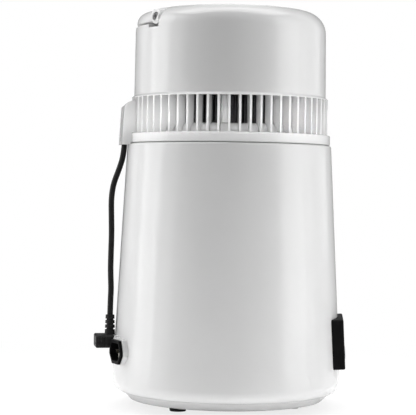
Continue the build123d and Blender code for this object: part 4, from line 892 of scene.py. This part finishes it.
def addFloor(setup):
    mesh = bpy.data.meshes.new("floor")
    form = bmesh.new()
    bmesh.ops.create_grid(form, x_segments=setup["cells"], y_segments=setup["cells"], size=setup["half"])
    form.to_mesh(mesh)
    form.free()
    floor = bpy.data.objects.new("floor", mesh)
    scene.collection.objects.link(floor)
    material, tree, shader = startFinish("floorPaper")
    shader.inputs["Base Color"].default_value = colour(setup["tone"])
    shader.inputs["Roughness"].default_value = setup["rough"]
    path = addNode(tree, "LightPath")
    white = addNode(tree, "Emission", Strength=1.0)
    blend = addNode(tree, "MixShader")
    spot = addNode(tree, "VectorMath", {"operation": "LENGTH"})
    tree.links.new(addNode(tree, "TexCoord").outputs["Object"], spot.inputs[0])
    whiten = mapRange(tree, spot.outputs["Value"], *setup["fade"], setup["whitenNear"], 1.0)
    share = mathNode(tree, "MULTIPLY", path.outputs["Is Camera Ray"], whiten)
    tree.links.new(share, blend.inputs[0])
    tree.links.new(shader.outputs[0], blend.inputs[1])
    tree.links.new(white.outputs[0], blend.inputs[2])
    tree.links.new(blend.outputs[0], tree.nodes["Material Output"].inputs["Surface"])
    mesh.materials.append(material)
    return floor


floorSheet = addFloor(floorPaper)

# white surround, which gives the object little light
surround = {"white": 1.0, "ambient": 0.03}


def addSurround(setup):
    world = bpy.data.worlds.new("surround")
    scene.world = world
    world.use_nodes = True
    tree = world.node_tree
    back = tree.nodes["Background"]
    back.inputs["Color"].default_value = (1.0, 1.0, 1.0, 1.0)
    path = addNode(tree, "LightPath")
    through = mathNode(tree, "MAXIMUM", path.outputs["Is Glossy Ray"], path.outputs["Is Transmission Ray"])
    seen = mathNode(tree, "MAXIMUM", path.outputs["Is Camera Ray"], through)
    strength = mapRange(tree, seen, 0.0, 1.0, setup["ambient"], setup["white"])
    tree.links.new(strength, back.inputs["Strength"])


addSurround(surround)

# grey cards behind the body, out of the picture, that give its pale edges a line
cards = {
    "around": (33.4, 333.4),
    "distance": 0.75,
    "size": (0.55, 1.3),
    "cells": (2, 4),
    "tone": (0.10, 0.10, 0.10),
    "rough": 0.9,
}


def addCard(turn, setup):
    form = bmesh.new()
    bmesh.ops.create_grid(form, x_segments=setup["cells"][0], y_segments=setup["cells"][1], size=0.5)
    bmesh.ops.scale(form, vec=(*setup["size"], 1.0), verts=form.verts)
    mesh = bpy.data.meshes.new("card")
    form.to_mesh(mesh)
    form.free()
    card = bpy.data.objects.new("card", mesh)
    scene.collection.objects.link(card)
    card.location = onMeridian(turn, setup["distance"], setup["size"][1] / 2)
    toward = Vector((-card.location.x, -card.location.y, 0))
    card.rotation_euler = toward.to_track_quat("Z", "Y").to_euler()
    material, _, shader = startFinish("cardGrey")
    shader.inputs["Base Color"].default_value = colour(setup["tone"])
    shader.inputs["Roughness"].default_value = setup["rough"]
    mesh.materials.append(material)
    card.visible_camera = False
    card.visible_shadow = False


for cardTurn in cards["around"]:
    addCard(cardTurn, cards)

# lamps; angle around the axis, distance from it and height; some reach only the pieces that lampReach names
stripSize = (0.3, 1.0)
lamps = {
    "stripLeft": {"around": 95.4, "distance": 0.6, "height": 0.3, "size": stripSize, "power": 2.1},
    "stripLeftNear": {"around": 115.4, "distance": 0.6, "height": 0.3, "size": stripSize, "power": 0.8},
    "stripRight": {"around": 252.4, "distance": 0.6, "height": 0.3, "size": stripSize, "power": 1.45},
    "softRight": {"around": 258.4, "distance": 1.0, "height": 0.4, "size": (0.9, 1.0), "power": 2.9},
    "above": {
        "around": 183.4, "distance": 0.02, "height": 1.36, "size": (1.6, 0.6), "power": 10.4,
        "reach": "object",
    },
    "behind": {
        "around": 3.4, "distance": 1.4, "height": 0.4, "size": (0.5, 0.9), "power": 8.0,
        "reach": "object", "glossy": False,
    },
    "floorWash": {
        "around": 0.0, "distance": 0.02, "height": 0.6, "size": (0.8, 0.8), "power": 8.2,
        "reach": "floor",
    },
    "ventFill": {
        "around": 183.4, "distance": 0.45, "height": 0.26, "size": (0.3, 0.026), "power": 0.014,
        "reach": "vents", "glossy": False, "aim": 0.26, "spread": 6.0,
    },
}
lampDefaults = {"aim": 0.18, "spread": 180.0, "glossy": True}
lampReach = {
    "floor": [floorSheet],
    "object": [*nodes.values(), cordPiece],
    "vents": [nodes["dome_shell"], nodes["rear_duct"], nodes["condenser_tray"], nodes["condenser_fins"]],
}


def addLamp(name, setup):
    data = bpy.data.lights.new(name, "AREA")
    data.shape = "RECTANGLE"
    data.size, data.size_y = setup["size"]
    data.energy = setup["power"]
    data.spread = math.radians(setup["spread"])
    lamp = bpy.data.objects.new(name, data)
    scene.collection.objects.link(lamp)
    lamp.location = onMeridian(setup["around"], setup["distance"], setup["height"])
    toward = Vector((0, 0, setup["aim"])) - lamp.location
    lamp.rotation_euler = toward.to_track_quat("-Z", "Y").to_euler()
    lamp.visible_camera = False
    lamp.visible_glossy = setup["glossy"]
    if "reach" in setup:
        lit = bpy.data.collections.new(name + "Reach")
        for piece in lampReach[setup["reach"]]:
            lit.objects.link(piece)
        lamp.light_linking.receiver_collection = lit


for lampName, lampSetup in lamps.items():
    addLamp(lampName, {**lampDefaults, **lampSetup})
print("stage lit")
